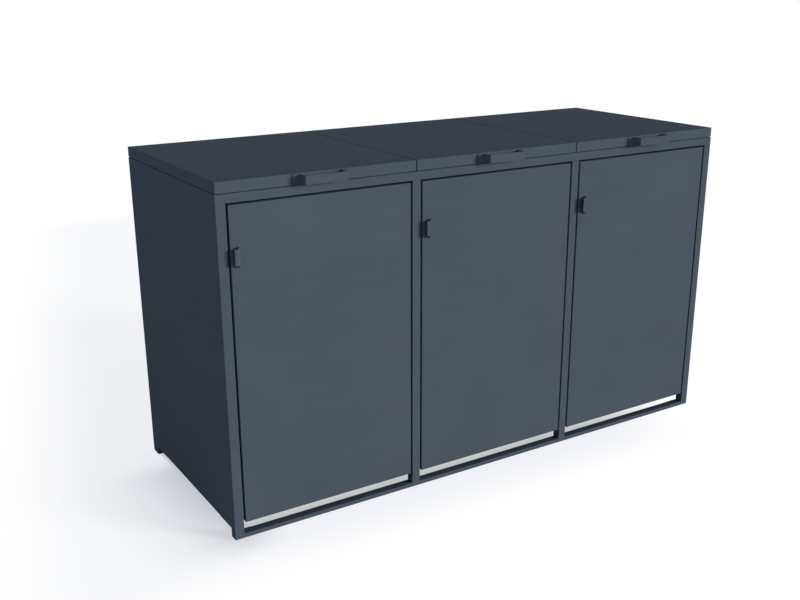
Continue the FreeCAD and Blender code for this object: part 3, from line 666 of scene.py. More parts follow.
@dataclass(frozen=True)
class RolledKnuckle:
    """A hinge leaf's edge, rolled round the pin from a tongue of the same sheet."""

    sheet: float
    sweep: float = 292.0  # degrees that the tongue is rolled through
    steps: int = 16

    def build(
        self, path: Sequence[Vector], centre: Vector, about: Vector, run: Vector, out: Vector
    ) -> BMesh:
        """Roll one knuckle.

        Args:
            path: The tongue's corners on its outer face; the last is where the roll begins.
            centre: A point of the pin's axis, level with the path.
            about: The axis, pointing so that the roll turns the right way round it.
            run: The knuckle's length and direction.
            out: The direction out of the tongue's largest face.

        Returns:
            The knuckle with its tongue.
        """
        mesh = bmesh.new()
        corners = chain(mesh, path)[0]
        spin(mesh, corners[-1:], centre, about, self.sweep, self.steps)
        extend(mesh, mesh.edges[:], run)
        face_outwards(mesh, out)
        thicken(mesh, self.sheet)
        return mesh


@dataclass(frozen=True)
class Fold:
    """A flange folded off one edge of a flat sheet."""

    radius: float
    flange: float
    gauge: float
    steps: int = 5

    def build(self, mesh: BMesh, edge: BMEdge, inward: Vector) -> BMesh:
        """Fold the flange, and give the whole sheet its thickness.

        Args:
            mesh: The flat sheet, on its outer face.
            edge: The edge where the bend begins, one bend radius short of the corner.
            inward: The direction that the flange goes in, away from the outer face.

        Returns:
            The same mesh.
        """
        sheet = edge.link_faces[0]
        into_sheet = sheet.calc_center_median() - middle(edge)
        into_sheet -= into_sheet.project(edge.verts[1].co - edge.verts[0].co)
        centre = middle(edge) + inward * self.radius
        about = inward.cross(into_sheet).normalized()
        made = spin(mesh, [*edge.verts, edge], centre, about, 90, self.steps)
        last = [item for item in made if isinstance(item, BMEdge)]
        extend(mesh, last, inward * (self.flange - self.radius))
        bmesh.ops.recalc_face_normals(mesh, faces=mesh.faces)
        mesh.normal_update()
        if sheet.normal.dot(inward) > 0:
            bmesh.ops.reverse_faces(mesh, faces=mesh.faces)
        thicken(mesh, self.gauge)
        return mesh


@dataclass
class Assembly:
    """What every sub-assembly shares: its finishes, its sheet, and how a mesh becomes a piece."""

    finishes: Finishes
    nodes: dict[str, Object]
    gauge: float = 1.5 * MM
    crease: float = 35.0  # degrees over which an edge is drawn sharp

    def solids(self, node: str) -> list[Box]:
        """Find the separate solids of a CAD node.

        Args:
            node: The CAD node's name.

        Returns:
            Each solid's lowest and highest corner, from left to right.
        """
        mesh = bmesh.new()
        mesh.from_mesh(self.nodes[node].data)
        bmesh.ops.remove_doubles(mesh, verts=mesh.verts, dist=0.001 * MM)
        waiting = set(mesh.verts)
        boxes = []
        while waiting:
            reached = [waiting.pop()]
            for vert in reached:
                for edge in vert.link_edges:
                    other = edge.other_vert(vert)
                    if other in waiting:
                        waiting.remove(other)
                        reached.append(other)
            axes = list(zip(*(vert.co for vert in reached)))
            boxes.append(tuple(Vector([pick(axis) for axis in axes]) for pick in (min, max)))
        mesh.free()
        return sorted(boxes, key=lambda box: [round(value, 4) for value in box[0]])

    def place(self, mesh: BMesh, name: str, body: str, slot: str, *stands_for: str) -> None:
        """Turn a mesh into a finished piece that rides on a body.

        Args:
            mesh: The piece's mesh, which is freed.
            name: The piece's name.
            body: The body it rides on.
            slot: The material slot it takes its finish from.
            *stands_for: The CAD nodes that it replaces.
        """
        data = bpy.data.meshes.new(name)
        mesh.normal_update()
        mesh.to_mesh(data)
        mesh.free()
        data.shade_smooth()
        piece = bpy.data.objects.new(name, data)
        bpy.context.scene.collection.objects.link(piece)
        data.set_sharp_from_angle(angle=math.radians(self.crease))
        even = piece.modifiers.new("even_shading", "WEIGHTED_NORMAL")
        even.keep_sharp = True
        data.materials.append(self.finishes.by_slot[slot])
        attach(piece, body)
        if stands_for:
            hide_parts(*stands_for)
        LOG.info("%s on %s: %d faces", name, body, len(data.polygons))


@dataclass
class Frame(Assembly):
    """The welded frame of square tube, with its side and rear sheets."""

    wall: float = 2.0 * MM
    post_corner: float = 2.0 * MM
    rail_corner: float = 1.0 * MM
    flange: float = 20.0 * MM
    flange_clear: float = 95.0 * MM  # from a post to the end of the side sheet's flange
    fold: float = 2.5 * MM
    plug_step: float = 0.6 * MM
    plug_thick: float = 4.0 * MM
    plug_corner: float = 0.5 * MM
    plug_rim: float = 0.3 * MM
    anchor_thick: float = 3.0 * MM
    anchor_bend: float = 4.5 * MM
    screw_hole: float = 4.0 * MM
    posts: tuple[str, ...] = ("left_post", "mid_post_1", "mid_post_2", "right_post")
    side_rails: tuple[str, ...] = ("left", "mid_1", "mid_2", "right")

    def build(self) -> None:
        """Make every piece of the frame."""
        for post in self.posts:
            self._tube(f"front_{post}", UP, self.post_corner)
            self._tube(f"rear_{post}", UP, self.post_corner)
        for rail in self.side_rails:
            self._tube(f"{rail}_top_rail", REAR, self.rail_corner)
        self._tube("front_top_rail", RIGHT, self.rail_corner)
        self._tube("rear_top_rail", RIGHT, self.rail_corner)
        self._sill()
        for side in Side:
            self._side_sheet(side)
        for bay in BAYS:
            self._rear_sheet(bay)
        self._rivets()
        self._anchors()

    def _tube_mesh(self, node: str, along: Vector, corner: float) -> BMesh:
        """Draw a tube with rounded corners, but a plain edge where a side sheet covers it.

        Args:
            node: The CAD node whose place it takes.
            along: The direction along the tube.
            corner: The outer radius of its corners.

        Returns:
            The tube, open at both ends.
        """
        mesh = box_mesh(*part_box(node))
        ends = [face for face in mesh.faces if abs(face.normal.dot(along)) > 0.99]
        bmesh.ops.delete(mesh, geom=ends, context="FACES_ONLY")
        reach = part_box("front_sill")[1].x - 2 * self.gauge
        free = [edge for edge in edges_along(mesh, along) if abs(middle(edge).x) < reach]
        round_edges(mesh, free, corner)
        thicken(mesh, self.wall)
        return mesh

    def _tube(self, node: str, along: Vector, corner: float) -> None:
        """Place one tube of the frame."""
        mesh = self._tube_mesh(node, along, corner)
        self.place(mesh, f"{node}_tube", "frame", "powder_coat", node)

    def _sill(self) -> None:
        """Draw the bar on the ground, with a plug let into each end."""
        low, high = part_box("front_sill")
        parts = [self._tube_mesh("front_sill", RIGHT, self.rail_corner)]
        wall = Vector((0.0, self.wall, self.wall))
        for end in (low.x + self.plug_step, high.x - self.plug_step - self.plug_thick):
            plug_low = Vector((end, low.y, low.z)) + wall
            plug_high = Vector((end + self.plug_thick, high.y, high.z)) - wall
            parts.append(plate(plug_low, plug_high, RIGHT, self.plug_corner, self.plug_rim))
        self.place(merged(parts), "sill_bar", "frame", "powder_coat", "front_sill")

    def _folded_sheet(self, outline: Sequence[Vector], inward: Vector) -> BMesh:
        """Fold the lower edge of an upright sheet inwards.

        Args:
            outline: The sheet's corners; the second and third are the ends of the fold.
            inward: The direction into the store.

        Returns:
            The sheet, with its thickness.
        """
        mesh = bmesh.new()
        corners, edges = chain(mesh, outline, closed=True)
        mesh.faces.new(corners)
        return Fold(self.fold, self.flange, self.gauge).build(mesh, edges[1], inward)

    def _side_sheet(self, side: Side) -> None:
        """Draw a side sheet: a leg on the sill, a leg on the ground and the fold between them.

        Args:
            side: The side of the store that it closes.
        """
        node = f"{side.name.lower()}_side_panel"
        low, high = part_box(node)
        face_x = low.x if side is Side.LEFT else high.x
        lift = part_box("rear_panel_1")[0].z
        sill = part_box("front_sill")[1]
        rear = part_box("rear_left_post")[0].y
        fold_from, fold_to = sill.y + self.flange_clear, rear - self.flange_clear
        corners = [
            (fold_from, lift), (fold_from, lift + self.fold),
            (fold_to, lift + self.fold), (fold_to, lift),
            (rear, lift), (rear, low.z), (high.y, low.z), (high.y, high.z),
            (low.y, high.z), (low.y, sill.z), (sill.y, sill.z), (sill.y, lift),
        ]
        outline = [Vector((face_x, y, z)) for y, z in corners]
        mesh = self._folded_sheet(outline, RIGHT * -side.value)
        self.place(mesh, f"{side.name.lower()}_side_sheet", "frame", "powder_coat", node)

    def _rear_sheet(self, bay: int) -> None:
        """Draw a rear sheet with its lower fold, which is as wide as the door in front.

        Args:
            bay: The number of the bay that it closes.
        """
        node = f"rear_panel_{bay}"
        low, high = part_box(node)
        left, right = (corner.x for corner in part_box(f"door_panel_{bay}"))
        corners = [
            (left, low.z), (left, low.z + self.fold), (right, low.z + self.fold), (right, low.z),
            (high.x, low.z), (high.x, high.z), (low.x, high.z), (low.x, low.z),
        ]
        mesh = self._folded_sheet([Vector((x, high.y, z)) for x, z in corners], -REAR)
        self.place(mesh, f"rear_sheet_{bay}", "frame", "powder_coat", node)

    def _rivets(self) -> None:
        """Set the rivets of the rear sheets."""
        face_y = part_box("rear_panel_1")[1].y
        heads = []
        for low, high in self.solids("rear_panel_rivets"):
            spot = Vector(((low.x + high.x) / 2, face_y, (low.z + high.z) / 2))
            heads.append(BlindRivet((high.x - low.x) / 2, high.y - face_y).build(spot, REAR))
        self.place(merged(heads), "rear_sheet_rivets", "frame", "powder_coat", "rear_panel_rivets")

    def _anchors(self) -> None:
        """Bend the ground anchors: the front ones stand on the sill, the rear ones on the posts."""
        parts = []
        for low, high in self.solids("ground_anchors"):
            side = Side.LEFT if low.x < 0 else Side.RIGHT
            wall = -REAR if low.y < 0 else RIGHT * side.value
            along = wall.cross(UP)
            reach, wide = (abs((high - low).dot(way)) for way in (wall, along))
            centre = Vector(((low.x + high.x) / 2, (low.y + high.y) / 2, low.z))
            toe = centre - wall * reach / 2
            heel = centre + wall * (reach / 2 - self.anchor_bend)
            aside = along * wide / 2
            mesh = bmesh.new()
            rim = chain(mesh, (toe + aside, heel + aside, heel - aside, toe - aside), True)[1]
            hole = Matrix.Translation(centre - wall * self.anchor_thick / 2)
            bmesh.ops.create_circle(mesh, segments=20, radius=self.screw_hole, matrix=hole)
            bmesh.ops.triangle_fill(mesh, use_beauty=True, edges=mesh.edges[:])
            angle = Fold(self.anchor_bend, high.z - low.z, self.anchor_thick)
            parts.append(angle.build(mesh, rim[1], UP))
        self.place(merged(parts), "ground_anchor_angles", "frame", "zinc_steel", "ground_anchors")


@dataclass
class Fittings(Assembly):
    """What is bolted and riveted to the frame: hinge brackets, leaves, pins, catches and pads."""

    arm: float = 4.0 * MM
    arm_bend: float = 6.0 * MM
    arm_rim: float = 0.5 * MM
    arm_rivet: float = 7.5 * MM  # an arm's end to the middle of its rivets
    arm_rivets: tuple[float, float] = (0.28, 0.72)  # their heights, as shares of the arm's
    arm_reach: float = 0.7  # the pin's axis to the arm's tip, as a share of the sleeve's radius
    door_knuckle: float = 5.5 * MM
    sleeve_bore: float = 3.0 * MM
    lid_knuckle: float = 5.0 * MM
    leaf: float = 2.5 * MM
    leaf_corner: float = 3.0 * MM
    leaf_rivets: tuple[float, ...] = (-0.36, 0.0, 0.36)  # from its middle, as shares of its width
    rolled_sheet: float = 1.95 * MM
    leaf_clear: float = 6.0 * MM  # a lid hinge's axis to the edge of its leaf's plate
    tongue: float = 1.0 * MM  # how far a knuckle's tongue reaches over the plate
    knuckle_gap: float = 0.5 * MM
    middle_knuckle: float = 22.0 * MM
    case: float = 14.0 * MM
    case_bend: float = 1.2 * MM
    case_rim: float = 1.4 * MM  # width of the rim round a case's face
    case_well: float = 0.9 * MM  # how deep the face lies behind the rim
    tab_thick: float = 3.0 * MM
    tab_lap: float = 2.0 * MM  # how far a tab reaches into its case
    tab_corner: float = 3.0 * MM
    tab_rim: float = 0.6 * MM
    tab_rivet: float = 6.5 * MM  # a tab's end to the middle of its rivets
    tab_rivets: tuple[float, float] = (0.2, 0.8)  # their heights, as shares of the tab's
    pole_long: float = 40.0 * MM
    pole_wide: float = 2.0 * MM
    pole_deep: float = 4.0 * MM
    pole_off: float = 3.0 * MM  # the case's middle to the middle of a pole
    pole_corner: float = 0.6 * MM
    pole_rim: float = 0.3 * MM
    pin_dome: float = 0.8 * MM  # how high a pin's end is domed
    pin_crown: float = 0.15 * MM  # and how high over the middle of it
    pin_middle: float = 0.6  # that middle's radius, as a share of the pin's
    pad_corner: float = 2.0 * MM
    rivet: BlindRivet = BlindRivet()

    def build(self) -> None:
        """Make every fitting."""
        self._brackets()
        self._catches()
        self._pins()
        node = "frame_hinge_leaves"
        leaves = [self.lid_leaf(low, high, False) for low, high in self.solids(node)]
        self.place(merged(leaves), "frame_leaves", "frame", "zinc_steel", node)
        pads = [plate(low, high, UP, self.pad_corner) for low, high in self.solids("lid_buffers")]
        self.place(merged(pads), "lid_buffer_pads", "frame", "buffer_rubber", "lid_buffers")

    def _brackets(self) -> None:
        """Bend the gooseneck brackets, each with a sleeve for the pin welded to its end."""
        parts = []
        knuckle = self.door_knuckle
        for low, high in self.solids("door_hinge_brackets"):
            axis = low + Vector((knuckle, knuckle, 0))
            side = axis.x - self.arm / 2
            corners = ((high.x, high.y), (side, high.y), (side, axis.y + knuckle * self.arm_reach))
            long = high.z - low.z
            neck = strip([Vector((x, y, low.z)) for x, y in corners], UP * long)
            face_outwards(neck, REAR)
            bends = [edge for edge in edges_along(neck, UP) if len(edge.link_faces) == 2]
            round_edges(neck, bends, self.arm_bend, 6)
            face_outwards(neck, REAR)
            thicken(neck, self.arm)
            round_edges(neck, sharp_edges(neck), self.arm_rim, 2)
            sleeve = ring(self.sleeve_bore, knuckle, 0.0, long, self.arm_rim, 24)
            parts += [neck, aim(sleeve, axis, UP)]
            for height in self.arm_rivets:
                spot = Vector((high.x - self.arm_rivet, high.y, low.z + long * height))
                parts.append(self.rivet.build(spot, REAR))
        self.place(
            merged(parts), "gooseneck_brackets", "frame", "zinc_steel", "door_hinge_brackets"
        )

    def _case(self, low: Vector, high: Vector) -> BMesh:
        """Mould a catch's case, with its face let in behind a rim.

        Args:
            low: The case's lowest corner.
            high: The case's highest corner.

        Returns:
            The case.
        """
        case = box_mesh(low, high)
        round_edges(case, sharp_edges(case), self.case_bend)
        front = max(faces_towards(case, -REAR), key=lambda face: face.calc_area())
        bmesh.ops.inset_region(
            case, faces=[front], thickness=self.case_rim, use_even_offset=True
        )
        well = new_verts(bmesh.ops.extrude_face_region(case, geom=[front]))
        bmesh.ops.delete(case, geom=[front], context="FACES_ONLY")
        bmesh.ops.translate(case, vec=REAR * self.case_well, verts=well)
        bmesh.ops.recalc_face_normals(case, faces=case.faces)
        return case

    def _catches(self) -> None:
        """Make the magnetic catches: a moulded case with a tab, and two steel poles in its face."""
        cases, poles = [], []
        post_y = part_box("front_left_post")[1].y
        for low, high in self.solids("door_magnets"):
            left = high.x - self.case
            cases.append(self._case(Vector((left, low.y, low.z)), high))
            tab_low = Vector((low.x, post_y, low.z))
            tab_high = Vector((left + self.tab_lap, post_y + self.tab_thick, high.z))
            cases.append(plate(tab_low, tab_high, REAR, self.tab_corner, self.tab_rim))
            centre_x, centre_z = (left + high.x) / 2, (low.z + high.z) / 2
            for offset in (-self.pole_off, self.pole_off):
                pole_x = centre_x + offset - self.pole_wide / 2
                pole_low = Vector((pole_x, low.y, centre_z - self.pole_long / 2))
                pole_high = pole_low + Vector((self.pole_wide, self.pole_deep, self.pole_long))
                poles.append(plate(pole_low, pole_high, REAR, self.pole_corner, self.pole_rim))
            for height in self.tab_rivets:
                spot_z = low.z + (high.z - low.z) * height
                spot = Vector((low.x + self.tab_rivet, tab_high.y, spot_z))
                poles.append(self.rivet.build(spot, REAR))
        self.place(merged(cases), "magnetic_catch_cases", "frame", "catch_plastic", "door_magnets")
        self.place(merged(poles), "magnetic_catch_poles", "frame", "zinc_steel")

    def _pins(self) -> None:
        """Turn the hinge pins, with domed ends."""
        pins = []
        for low, high in self.solids("hinge_pins"):
            size = high - low
            along = max((RIGHT, REAR, UP), key=size.dot)
            long, radius = size.dot(along), min(size) / 2
            start = (low + high) / 2 - along * long / 2
            crown = radius * self.pin_middle
            profile = [(0.0, 0.0), (crown, self.pin_crown), (radius, self.pin_dome)]
            profile += [(radius, long - self.pin_dome), (crown, long - self.pin_crown), (0.0, long)]
            pins.append(aim(turned(profile, 16), start, along))
        self.place(merged(pins), "domed_hinge_pins", "frame", "zinc_steel", "hinge_pins")

    def lid_leaf(self, low: Vector, high: Vector, upward: bool) -> BMesh:
        """Make one leaf of a lid hinge.

        Args:
            low: The leaf's lowest corner.
            high: The leaf's highest corner.
            upward: Whether it is the lid's, with one knuckle, rather than the frame's, with two.

        Returns:
            The leaf with its knuckles and rivets.
        """
        radius = self.lid_knuckle
        axis_y = high.y - radius
        axis_z = low.z + radius if upward else high.z - radius
        sign = 1 if upward else -1
        edge_z = axis_z + sign * self.leaf_clear
        far_z = high.z if upward else low.z
        plate_low = Vector((low.x, low.y, min(edge_z, far_z)))
        plate_high = Vector((high.x, low.y + self.leaf, max(edge_z, far_z)))
        parts = [plate(plate_low, plate_high, REAR, self.leaf_corner)]
        centre_x = (low.x + high.x) / 2
        half = self.middle_knuckle / 2
        outer = (high.x - low.x) / 2 - half - self.knuckle_gap
        spans = [(centre_x - half, 2 * half)]
        if not upward:
            spans = [(low.x, outer), (high.x - outer, outer)]
        roll = RolledKnuckle(self.rolled_sheet)
        for start, long in spans:
            heights = (edge_z + sign * self.tongue, axis_z)
            path = [Vector((start, axis_y - radius, z)) for z in heights]
            centre = Vector((start, axis_y, axis_z))
            parts.append(roll.build(path, centre, RIGHT * sign, RIGHT * long, -REAR))
        for offset in self.leaf_rivets:
            spot_x = centre_x + offset * (high.x - low.x)
            spot = Vector((spot_x, plate_high.y, (plate_low.z + plate_high.z) / 2))
            parts.append(self.rivet.build(spot, REAR))
        return merged(parts)


@dataclass
class Door(Assembly):
    """One door: a folded tray with a stiffener, a bent tab to pull and two hinge leaves."""

    bay: int = 1
    lip: float = 10.0 * MM
    bend: float = 2.0 * MM
    notch_high: float = 34.0 * MM
    notch_deep: float = 13.0 * MM
    hat: float = 34.0 * MM
    crest_wide: float = 11.0 * MM
    crest_over: float = 2.0 * MM  # the tab's top corner on the door down to the top of its crest
    crest_under: float = 14.0 * MM  # its lower corner on the door up to the crest's lower end
    tab_bend: float = 2.2 * MM
    tab_wall: float = 2.0 * MM
    tab_rim: float = 0.4 * MM
    tab_weld: float = 1.0 * MM  # depth along its welded edge that is left sharp
    knuckle: float = 5.5 * MM
    leaf: float = 2.5 * MM
    leaf_corner: float = 2.5 * MM
    leaf_rivet: float = 10.0 * MM  # a leaf's left edge to the middle of its rivets
    leaf_rivets: tuple[float, float] = (0.18, 0.82)  # their heights, as shares of the leaf's
    tongue: float = 3.0 * MM
    knuckle_long: float = 17.0 * MM
    rolled_sheet: float = 2.45 * MM

    @property
    def body(self) -> str:
        """Give the name of the body that this door's pieces ride on."""
        return f"door_{self.bay}"

    def build(self) -> None:
        """Make every piece of the door."""
        self._tray()
        self._stiffener()
        self._tab()
        self._leaves()

    def _tray(self) -> None:
        """Fold the door from one sheet, and notch its edge for the hinge brackets."""
        node = f"door_panel_{self.bay}"
        low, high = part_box(node)
        mesh = tray(low, high, REAR, self.lip, self.bend)
        for leaf_low, leaf_high in self.solids(f"door_hinge_leaves_{self.bay}"):
            height = (leaf_low.z + leaf_high.z) / 2
            ends = (height - self.notch_high / 2, height + self.notch_high / 2)
            for end in ends:
                geom = mesh.verts[:] + mesh.edges[:] + mesh.faces[:]
                bmesh.ops.bisect_plane(mesh, geom=geom, plane_co=(0, 0, end), plane_no=UP)
            gone = []
            for face in mesh.faces:
                spot = face.calc_center_median()
                inside = ends[0] < spot.z < ends[1] and spot.y > low.y + self.bend
                if inside and spot.x > high.x - self.notch_deep:
                    gone.append(face)
            bmesh.ops.delete(mesh, geom=gone, context="FACES")
        face_outwards(mesh, -REAR)
        thicken(mesh, self.gauge)
        self.place(mesh, f"door_tray_{self.bay}", self.body, "powder_coat", node)

    def _stiffener(self) -> None:
        """Fold the hat-shaped channel behind the door's skin."""
        node = f"door_stiffener_{self.bay}"
        low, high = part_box(node)
        centre, brim = (low.x + high.x) / 2, low.y + self.gauge
        left, right = centre - self.hat / 2, centre + self.hat / 2
        corners = [(low.x, brim), (left, brim), (left, high.y)]
        corners += [(right, high.y), (right, brim), (high.x, brim)]
        mesh = strip([Vector((x, y, low.z)) for x, y in corners], UP * (high.z - low.z))
        round_edges(mesh, sharp_edges(mesh), self.bend)
        face_outwards(mesh, REAR)
        thicken(mesh, self.gauge)
        self.place(mesh, f"door_hat_channel_{self.bay}", self.body, "powder_coat", node)

    def _tab(self) -> None:
        """Bend the tab that opens the door: a slope up from the skin, then a crest level with it."""
        node = f"door_pull_{self.bay}"
        low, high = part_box(node)
        corners = ((low.x, low.y), (low.x + self.crest_wide, low.y), (high.x, high.y))
        mesh = strip([Vector((x, y, low.z)) for x, y in corners], UP * (high.z - low.z))
        for vert in mesh.verts:
            if vert.co.y < high.y - self.tab_wall:
                lower = vert.co.z < (low.z + high.z) / 2
                vert.co.z += self.crest_under if lower else -self.crest_over
        round_edges(mesh, sharp_edges(mesh, 30.0), self.tab_bend, 5)
        face_outwards(mesh, -REAR)
        thicken(mesh, self.tab_wall)
        free = [edge for edge in sharp_edges(mesh) if middle(edge).y < high.y - self.tab_weld]
        round_edges(mesh, free, self.tab_rim, 2)
        self.place(mesh, f"door_tab_{self.bay}", self.body, "powder_coat", node)

    def _leaves(self) -> None:
        """Make the hinge leaves inside the door, each with two rolled knuckles."""
        node = f"door_hinge_leaves_{self.bay}"
        parts = []
        rivet = BlindRivet()
        roll = RolledKnuckle(self.rolled_sheet)
        for low, high in self.solids(node):
            axis_x, axis_y = high.x - self.knuckle, high.y - self.knuckle
            side, face_y = axis_x - self.knuckle, low.y + self.leaf
            parts.append(plate(low, Vector((side, face_y, high.z)), REAR, self.leaf_corner))
            for start in (low.z, high.z - self.knuckle_long):
                corners = ((side - self.tongue, face_y), (side, face_y), (side, axis_y))
                path = [Vector((x, y, start)) for x, y in corners]
                centre = Vector((axis_x, axis_y, start))
                parts.append(roll.build(path, centre, -UP, UP * self.knuckle_long, -RIGHT))
            for height in self.leaf_rivets:
                spot_z = low.z + (high.z - low.z) * height
                parts.append(rivet.build(Vector((low.x + self.leaf_rivet, face_y, spot_z)), REAR))
        self.place(merged(parts), f"door_leaves_{self.bay}", self.body, "zinc_steel", node)


@dataclass
class Lid(Assembly):
    """One lid: a folded tray with two ribs, a bent strip to lift it by and two hinge leaves."""

    bay: int = 1
    lip: float = 10.0 * MM
    bend: float = 2.5 * MM
    strip_thick: float = 4.0 * MM
    strip_bend: float = 4.5 * MM
    strip_rim: float = 0.7 * MM
    foot_bend: float = 4.0 * MM
    foot: float = 24.0 * MM
    stud_seat: float = 8.0 * MM
    nut: float = 6.5 * MM
    nut_high: float = 5.0 * MM
    nut_rim: float = 0.5 * MM
    nut_middle: float = 3.0 * MM  # the rib to the middle of the nut
    washer: float = 1.3 * MM
    washer_bevel: tuple[float, float] = (0.6 * MM, 0.4 * MM)  # its width and its depth

    @property
    def body(self) -> str:
        """Give the name of the body that this lid's pieces ride on."""
        return f"lid_{self.bay}"

    def build(self, fittings: Fittings, strut_head: Vector) -> None:
        """Make every piece of the lid.

        Args:
            fittings: The maker of the hinge leaves.
            strut_head: The middle of the strut's head eye.
        """
        low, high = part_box(f"lid_panel_{self.bay}")
        mesh = tray(low, high, -UP, self.lip, self.bend)
        face_outwards(mesh, UP)
        thicken(mesh, self.gauge)
        node = f"lid_panel_{self.bay}"
        self.place(mesh, f"lid_tray_{self.bay}", self.body, "powder_coat", node)
        self._ribs(strut_head)
        self._handle()
        node = f"lid_hinge_leaves_{self.bay}"
        leaves = [fittings.lid_leaf(low, high, True) for low, high in self.solids(node)]
        self.place(merged(leaves), f"lid_leaves_{self.bay}", self.body, "zinc_steel", node)

    def _ribs(self, strut_head: Vector) -> None:
        """Fold the two angles under the lid, and put the strut's nut on the left one.

        Args:
            strut_head: The middle of the strut's head eye.
        """
        node = f"lid_ribs_{self.bay}"
        left, right = self.solids(node)
        parts = []
        for (low, high), web_x, rim_x in (
            (left, left[1].x, left[0].x),
            (right, right[0].x, right[1].x),
        ):
            corners = ((rim_x, high.z), (web_x, high.z), (web_x, low.z))
            path = [Vector((x, low.y, z)) for x, z in corners]
            mesh = strip(path, REAR * (high.y - low.y))
            round_edges(mesh, sharp_edges(mesh), self.bend)
            face_outwards(mesh, RIGHT * (1 if web_x > rim_x else -1))
            thicken(mesh, self.gauge)
            parts.append(mesh)
        self.place(merged(parts), f"lid_angles_{self.bay}", self.body, "powder_coat", node)

        nut = bmesh.new()
        sizes = {"radius1": self.nut, "radius2": self.nut, "depth": self.nut_high}
        bmesh.ops.create_cone(nut, cap_ends=True, segments=6, **sizes)
        bmesh.ops.translate(nut, vec=UP * self.nut_middle, verts=nut.verts)
        round_edges(nut, sharp_edges(nut), self.nut_rim, 2)
        seat, thick = self.stud_seat, self.washer
        wide, deep = self.washer_bevel
        profile = [(0.0, 0.0), (seat, 0.0), (seat, thick - deep), (seat - wide, thick), (0.0, thick)]
        spot = Vector((left[1].x - self.gauge, strut_head.y, strut_head.z))
        fixing = aim(merged([nut, turned(profile)]), spot, -RIGHT)
        self.place(fixing, f"strut_head_nut_{self.bay}", self.body, "zinc_steel")

    def _handle(self) -> None:
        """Bend the flat strip that lifts the lid."""
        node = f"lid_handle_{self.bay}"
        low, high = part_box(node)
        foot_y = high.y - self.strip_thick
        left, right = low.x + self.foot, high.x - self.foot
        corners = [(low.x, foot_y), (left, foot_y), (left, low.y)]
        corners += [(right, low.y), (right, foot_y), (high.x, foot_y)]
        mesh = strip([Vector((x, y, low.z)) for x, y in corners], UP * (high.z - low.z))
        front = [edge for edge in sharp_edges(mesh) if middle(edge).y < (low.y + foot_y) / 2]
        round_edges(mesh, front, self.strip_bend, 6)
        round_edges(mesh, sharp_edges(mesh), self.foot_bend, 3)
        face_outwards(mesh, -REAR)
        thicken(mesh, self.strip_thick)
        round_edges(mesh, sharp_edges(mesh), self.strip_rim, 2)
        self.place(mesh, f"lid_stirrup_{self.bay}", self.body, "powder_coat", node)


